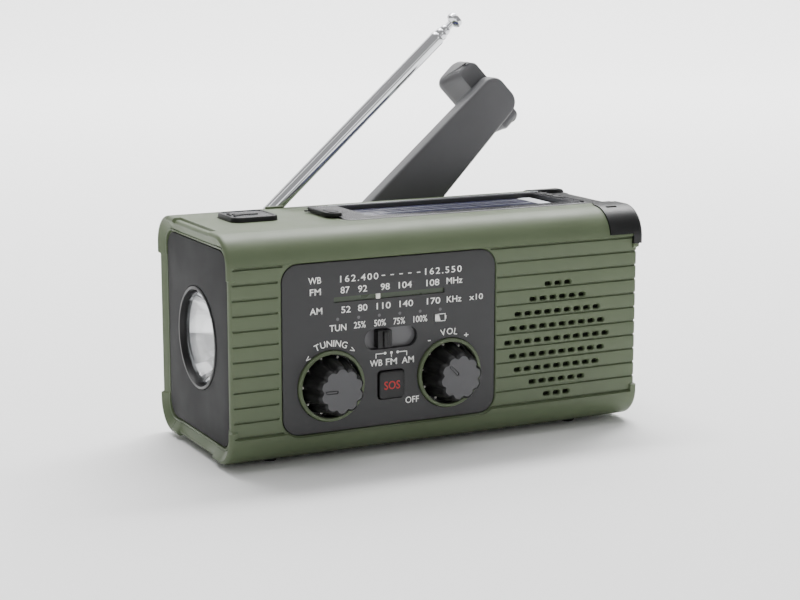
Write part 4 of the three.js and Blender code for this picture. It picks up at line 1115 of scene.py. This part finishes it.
def buildCells():
    gap, pitch = 0.3, cell["pitch"]
    base = plate("solarCellSkin", roundRect(cell["left"] + gap, cell["right"] - gap, cell["front"] + gap,
                                            cell["back"] - gap, 0.4, 3), "z", cell["floor"] + gap,
                 cell["floor"] + 0.6)
    settle(base, "lid", "blackAbs", ["solar_cell"])
    top = cell["floor"] + 0.6
    strip = plate("strip", roundRect(0.22, pitch - 0.22, cell["front"] + 1.2, cell["back"] - 1.6, 0.3, 3),
                  "z", top,
                  top + 0.15)
    strips = runTree(strip, repeatAlong, Count=cell["strips"], Start=(cell["first"], 0, 0),
                     Step=(pitch, 0, 0),
                     Finish=finish["silicon"])
    strips.name = "solarStrips"
    settle(strips, "lid")
    lastX = cell["first"] + cell["strips"] * pitch
    margin = plate("solarMargin", roundRect(lastX + 0.8, cell["right"] - 1.4, cell["front"] + 0.8,
                                            cell["back"] - 1.2, 0.3, 3),
                   "z", top, top + 0.12)
    settle(margin, "lid", "busSilver")
    wire = block("wire", cell["first"] + 0.5, lastX - 0.5, -0.14, 0.14, top + 0.15, top + 0.2)
    wires = runTree(wire, repeatAlong, Count=3, Start=(0, -3.5, 0), Step=(0, 8, 0),
                    Finish=finish["busSilver"])
    wires.name = "solarWires"
    settle(wires, "lid")


def buildLidTrim():
    rail = plate("lidRail", roundRect(cell["left"] - 3, cell["right"] + 4, cell["back"] + 0.9,
                                      cell["back"] + 1.5, 0.25, 3),
                 "z", lidSize["top"] - 0.2, lidSize["top"] + 0.06)
    settle(rail, "lid", "busSilver")
    low, high = nodeBox("lid_tab")
    # the tab is wider and thicker at its near half, with a short catch at the far end
    shape = [(low.x + 1.6, high.y), (low.x + 0.6, high.y - 0.8), (low.x, high.y - 2.4),
             (low.x, low.y + 2.6),
             (low.x + 0.9, low.y + 0.8), (low.x + 2.6, low.y), (high.x - 0.8, low.y), (high.x, low.y + 0.8),
             (high.x, -1.2), (high.x - 0.6, 0.2), (high.x - 2.0, 1.4), (high.x - 2.4, 3.0),
             (high.x - 2.4, high.y - 0.8),
             (high.x - 3.2, high.y)]
    tab = plate("tab", shape, "z", low.z, high.z - 0.4, 0.2, 0.4)
    pad = plate("pad", roundRect(low.x + 0.8, high.x - 0.8, low.y + 0.8, -1.6, 1.2, 5), "z", low.z + 0.4,
                high.z, far=0.5)
    catch = plate("catch", roundRect(low.x - 1.6, low.x + 1, high.y - 3.2, high.y - 2.4, 0.3, 3), "z",
                  low.z, low.z + 0.5)
    settle(together("lidTabSkin", [tab, pad, catch]), "lid", "blackAbs", ["lid_tab"])
    screwLow, screwTop = lidSize["top"] - 0.1, lidSize["top"] + 0.04
    screw = lathe("lidScrew", "z", (-21.6, 1),
                  [(0, screwLow), (0.9, screwLow), (0.9, screwTop), (0, screwTop)], 20)
    settle(screw, "lid", "blackAbs")
    # moulded chevrons that show which way the lid lifts
    chevrons = []
    for y in (3.0, 7.5, 12.0):
        shape = [(67.0, y - 2.6), (69.4, y - 2.6), (67.8, y), (69.4, y + 2.6), (67.0, y + 2.6), (65.4, y)]
        chevrons.append(plate("chevron", shape, "z", lidSize["top"] - 0.2, lidSize["top"] + 0.3, far=0.15))
    settle(together("lidChevrons", chevrons), "lid", "blackAbs")
    print("lid made")


buildLid()
buildCells()
buildLidTrim()


# antenna: its tubes lie along +X from the pivot and are then lifted
antenna = {"tilt": 41.68, "x": -42.2, "z": nodeCentre("antenna_pivot").z, "y": 28.0,
           "tubes": [(2.7, 2.5, 3.6, 96.4), (2.3, 2.1, 12, 98.9), (1.9, 1.7, 13.5, 101.1)],
           "rod": (1.35, 15, 104.3), "tip": (3.0, 106.8)}


def raised(name, pieces):
    piece = together(name, pieces)
    piece.data.transform(Matrix.Translation((antenna["x"], antenna["y"], antenna["z"])))
    return tilt(piece, antenna["x"], antenna["z"], antenna["tilt"])


def buildAntenna():
    bodies = ["antenna_base", "antenna_second", "antenna_third"]
    for i, (outer, inner, start, end) in enumerate(antenna["tubes"]):
        # the mouth of each tube is rolled in over the next one
        profile = [(inner, start), (outer, start), (outer, end - 1.6), (outer + 0.08, end - 1.3),
                   (outer + 0.05, end - 0.5),
                   (outer - 0.12, end - 0.1), (inner, end), (inner, start)]
        tube = lathe("tube", "x", (0, 0), profile, 48)
        tube = raised("antennaTube" + str(i + 1), [tube])
        settle(tube, bodies[i], "chromeTube", ["antenna_section_" + str(i + 1)], 30)
    radius, start, end = antenna["rod"]
    wide, tip = antenna["tip"]
    rod = lathe("rod", "x", (0, 0), [(0, start), (radius, start), (radius, end), (0, end)], 32)
    cap = lathe("cap", "x", (0, 0), [(0, end - 0.8), (1.6, end - 0.8), (1.9, end - 0.5),
                                     (wide - 0.5, end - 0.1),
                                     (wide, end + 0.6), (wide, tip - 0.7), (wide - 0.25, tip - 0.2),
                                     (wide - 0.8, tip),
                                     (0, tip)], 48)
    settle(raised("antennaTipSkin", [rod, cap]), "antenna_last", "chromeTube",
           ["antenna_section_4"], 30)
    eye = plate("eye", circle(0, 0, 2.8, 40), "y", -2.4, 2.4, 0.4, 0.4)
    carve(eye, plate("bore", circle(0, 0, 1.5, 24), "y", -5, 5))
    neck = plate("neck", roundRect(-1.5, 1.5, -1.5, 1.5, 0.6, 4), "x", 2.0, 4.6)
    plug = lathe("plug", "x", (0, 0), [(0, 3.9), (2.2, 3.9), (2.2, 8), (0, 8)], 32)
    settle(raised("antennaKnuckleSkin", [eye, neck, plug]), "antenna_base", "chromeTube",
           ["antenna_knuckle"], 30)
    print("antenna made")


buildAntenna()


# crank: drawn along +X from its hub and then lifted
crank = {"x": nodeCentre("crank_shaft").x, "z": nodeCentre("crank_shaft").z, "tilt": 43.9, "length": 82.4,
         "near": 35.5,
         "far": 42.0, "hub": 12.0, "end": 8.5, "corner": 5.5, "grip": 74.3, "gripHalf": 15.7,
         "paddle": (69.4, 81.4, 42.4, 57.0)}


def crankOutline():
    shoulder = crank["length"] - crank["corner"]
    top = 90 - math.degrees(math.asin((crank["hub"] - crank["end"]) / shoulder))
    points = []
    for i in range(41):
        a = math.radians(top + (360 - 2 * top) * i / 40)
        points.append((crank["hub"] * math.cos(a), crank["hub"] * math.sin(a)))
    for side, start in ((-1, -90), (1, 0)):
        v = side * (crank["end"] - crank["corner"])
        for i in range(13):
            a = math.radians(start + 90 * i / 12)
            points.append((shoulder + crank["corner"] * math.cos(a), v + crank["corner"] * math.sin(a)))
    return [(crank["x"] + u, crank["z"] + v) for u, v in points]


def buildCrank():
    arm = plate("crankArmSkin", crankOutline(), "y", crank["near"], crank["far"], 0.9, 0.9)
    arm = carve(arm, plate("bore", circle(crank["x"], crank["z"], 2.7, 32), "y", 30, 39.6),
                plate("sink", circle(crank["x"], crank["z"], 3.6, 32), "y", 40.4, 50),
                plate("hole", circle(crank["x"], crank["z"], 1.6, 24), "y", 30, 50))
    settle(tilt(arm, crank["x"], crank["z"], crank["tilt"]), "crank", "crankAbs",
           ["crank_arm"], 30)
    # the handle: a paddle across the arm whose section flares away from it
    low, high, front, back = crank["paddle"]
    outline = [(73.2, front), (high - 1, front), (high - 0.3, front + 0.3), (high, front + 1),
               (high, back - 5)]
    outline += [(high - 5 + 5 * math.cos(math.radians(a)), back - 5 + 5 * math.sin(math.radians(a)))
                for a in range(10, 91, 10)]
    outline += [(low + 2.2 + 4.4 * math.cos(math.radians(a)), back - 4.4 + 4.4 * math.sin(math.radians(a)))
                for a in range(95, 186, 10)]
    outline += [(low - 1.4, 50.9), (low - 0.2, 49.2), (71.6, 45.6), (72.4, 43.6)]
    paddle = plate("crankGripSkin", outline, "z", -crank["gripHalf"], crank["gripHalf"], 3.2, 3.2, 8)
    paddle.data.transform(Matrix.Translation((crank["x"], 0, crank["z"])))
    carve(paddle, plate("pinHole", circle(crank["x"] + crank["grip"], crank["z"], 2.2, 24), "y", 40, 52))
    settle(tilt(paddle, crank["x"], crank["z"], crank["tilt"]), "crank_handle", "crankAbs",
           ["crank_grip"], 35)
    print("crank made")


buildCrank()


def buildFeet():
    for side in ("front_left", "front_right", "rear_left", "rear_right"):
        low, high = nodeBox("foot_" + side)
        centre = (low + high) / 2
        profile = [(0, 0), (1.9, 0), (2.2, 0.15), (2.6, 1.1), (2.7, high.z), (0, high.z)]
        words = side.split("_")
        foot = lathe("foot" + words[0].title() + words[1].title(), "z", (centre.x, centre.y), profile, 32)
        settle(foot, "case", "rubber", ["foot_" + side])


buildFeet()


# studio: a pale sweep, cards and soft boxes
def paintFlat(mesh, name, tone):         # a matt colour
    material, tree = newMaterial(name)
    shader = addNode(tree, "ShaderNodeBsdfPrincipled", {"Base Color": linearColour(tone), "Roughness": 0.9})
    addNode(tree, "ShaderNodeOutputMaterial", None, {"Surface": shader.outputs["BSDF"]})
    mesh.materials.append(material)


def buildStudio():
    reach, bend = 1.6, 0.5
    points, faces = [], []
    rows = [(-2.5, 0.0), (0.0, 0.0)] + [(reach + bend * math.sin(math.radians(a)),
                                         bend * (1 - math.cos(math.radians(a))))
                                         for a in range(0, 91, 6)] + [(reach + bend, 3.0)]
    for y, z in rows:
        points += [(-4, y, z), (4, y, z)]
    for i in range(len(rows) - 1):
        faces.append((2 * i, 2 * i + 1, 2 * i + 3, 2 * i + 2))
    mesh = bpy.data.meshes.new("sweep")
    mesh.from_pydata(points, [], faces)
    mesh.polygons.foreach_set("use_smooth", [True] * len(mesh.polygons))
    sweep = bpy.data.objects.new("sweep", mesh)
    sweep.rotation_euler = (0, 0, math.radians(view["turn"]))
    bpy.context.collection.objects.link(sweep)
    paintFlat(mesh, "matPaperWhite", "#f6f6f6")
    world = bpy.data.worlds.new("studio")
    world.use_nodes = True
    world.node_tree.nodes["Background"].inputs["Color"].default_value = (1, 1, 1, 1)
    world.node_tree.nodes["Background"].inputs["Strength"].default_value = studio["world"]
    bpy.context.scene.world = world
    # cards that only reflections meet stand behind the radio, and break up the sheen of its top
    turn = math.radians(view["turn"])
    ahead = Vector((-math.sin(turn), math.cos(turn), 0))
    for name, tone, fromX, toX, lowEdge, highEdge in studio["cards"]:
        shape = [(fromX, 0, lowEdge), (toX, 0, lowEdge), (toX, 0, highEdge), (fromX, 0, highEdge)]
        mesh = bpy.data.meshes.new(name)
        mesh.from_pydata(shape, [], [(0, 1, 2, 3)])
        card = bpy.data.objects.new(name, mesh)
        card.location = ahead * studio["cardAway"]
        card.rotation_euler = (0, 0, turn)
        bpy.context.collection.objects.link(card)
        paintFlat(mesh, name, tone)
        for kind in ("camera", "diffuse", "shadow", "transmission", "volume_scatter"):
            setattr(card, "visible_" + kind, False)
    for name, power, size, place, aim in studio["lights"]:
        lamp = bpy.data.lights.new(name, "AREA")
        lamp.energy = power
        lamp.shape = "RECTANGLE"
        lamp.size, lamp.size_y = size
        box = bpy.data.objects.new(name, lamp)
        box.location = place
        box.rotation_euler = (Vector(aim) - Vector(place)).to_track_quat("-Z", "Y").to_euler()
        bpy.context.collection.objects.link(box)


studio = {                               # cards: tone, left, right, low and high edge in metres
    "cardAway": 1.2,
    "cards": [("greyCard", "#b4b4b4", -0.9, 0.05, 0.1, 0.62),
              ("darkCard", "#1c1c1c", 0.05, 0.7, 0.1, 0.62)],
    "world": 0.42,
    "lights": [
        ("overhead", 44, (3.0, 3.0), (0.3, 0.7, 2.2), (0.1, 0.2, 0)),
        ("backdropLight", 170, (3.0, 0.8), (0.9, 1.0, 2.4), (1.0, 2.0, 0.4)),
        ("frontKey", 2.0, (0.6, 0.8), (0.1, -1.7, 0.8), (0, 0, 0.05)),
    ],
}
buildStudio()
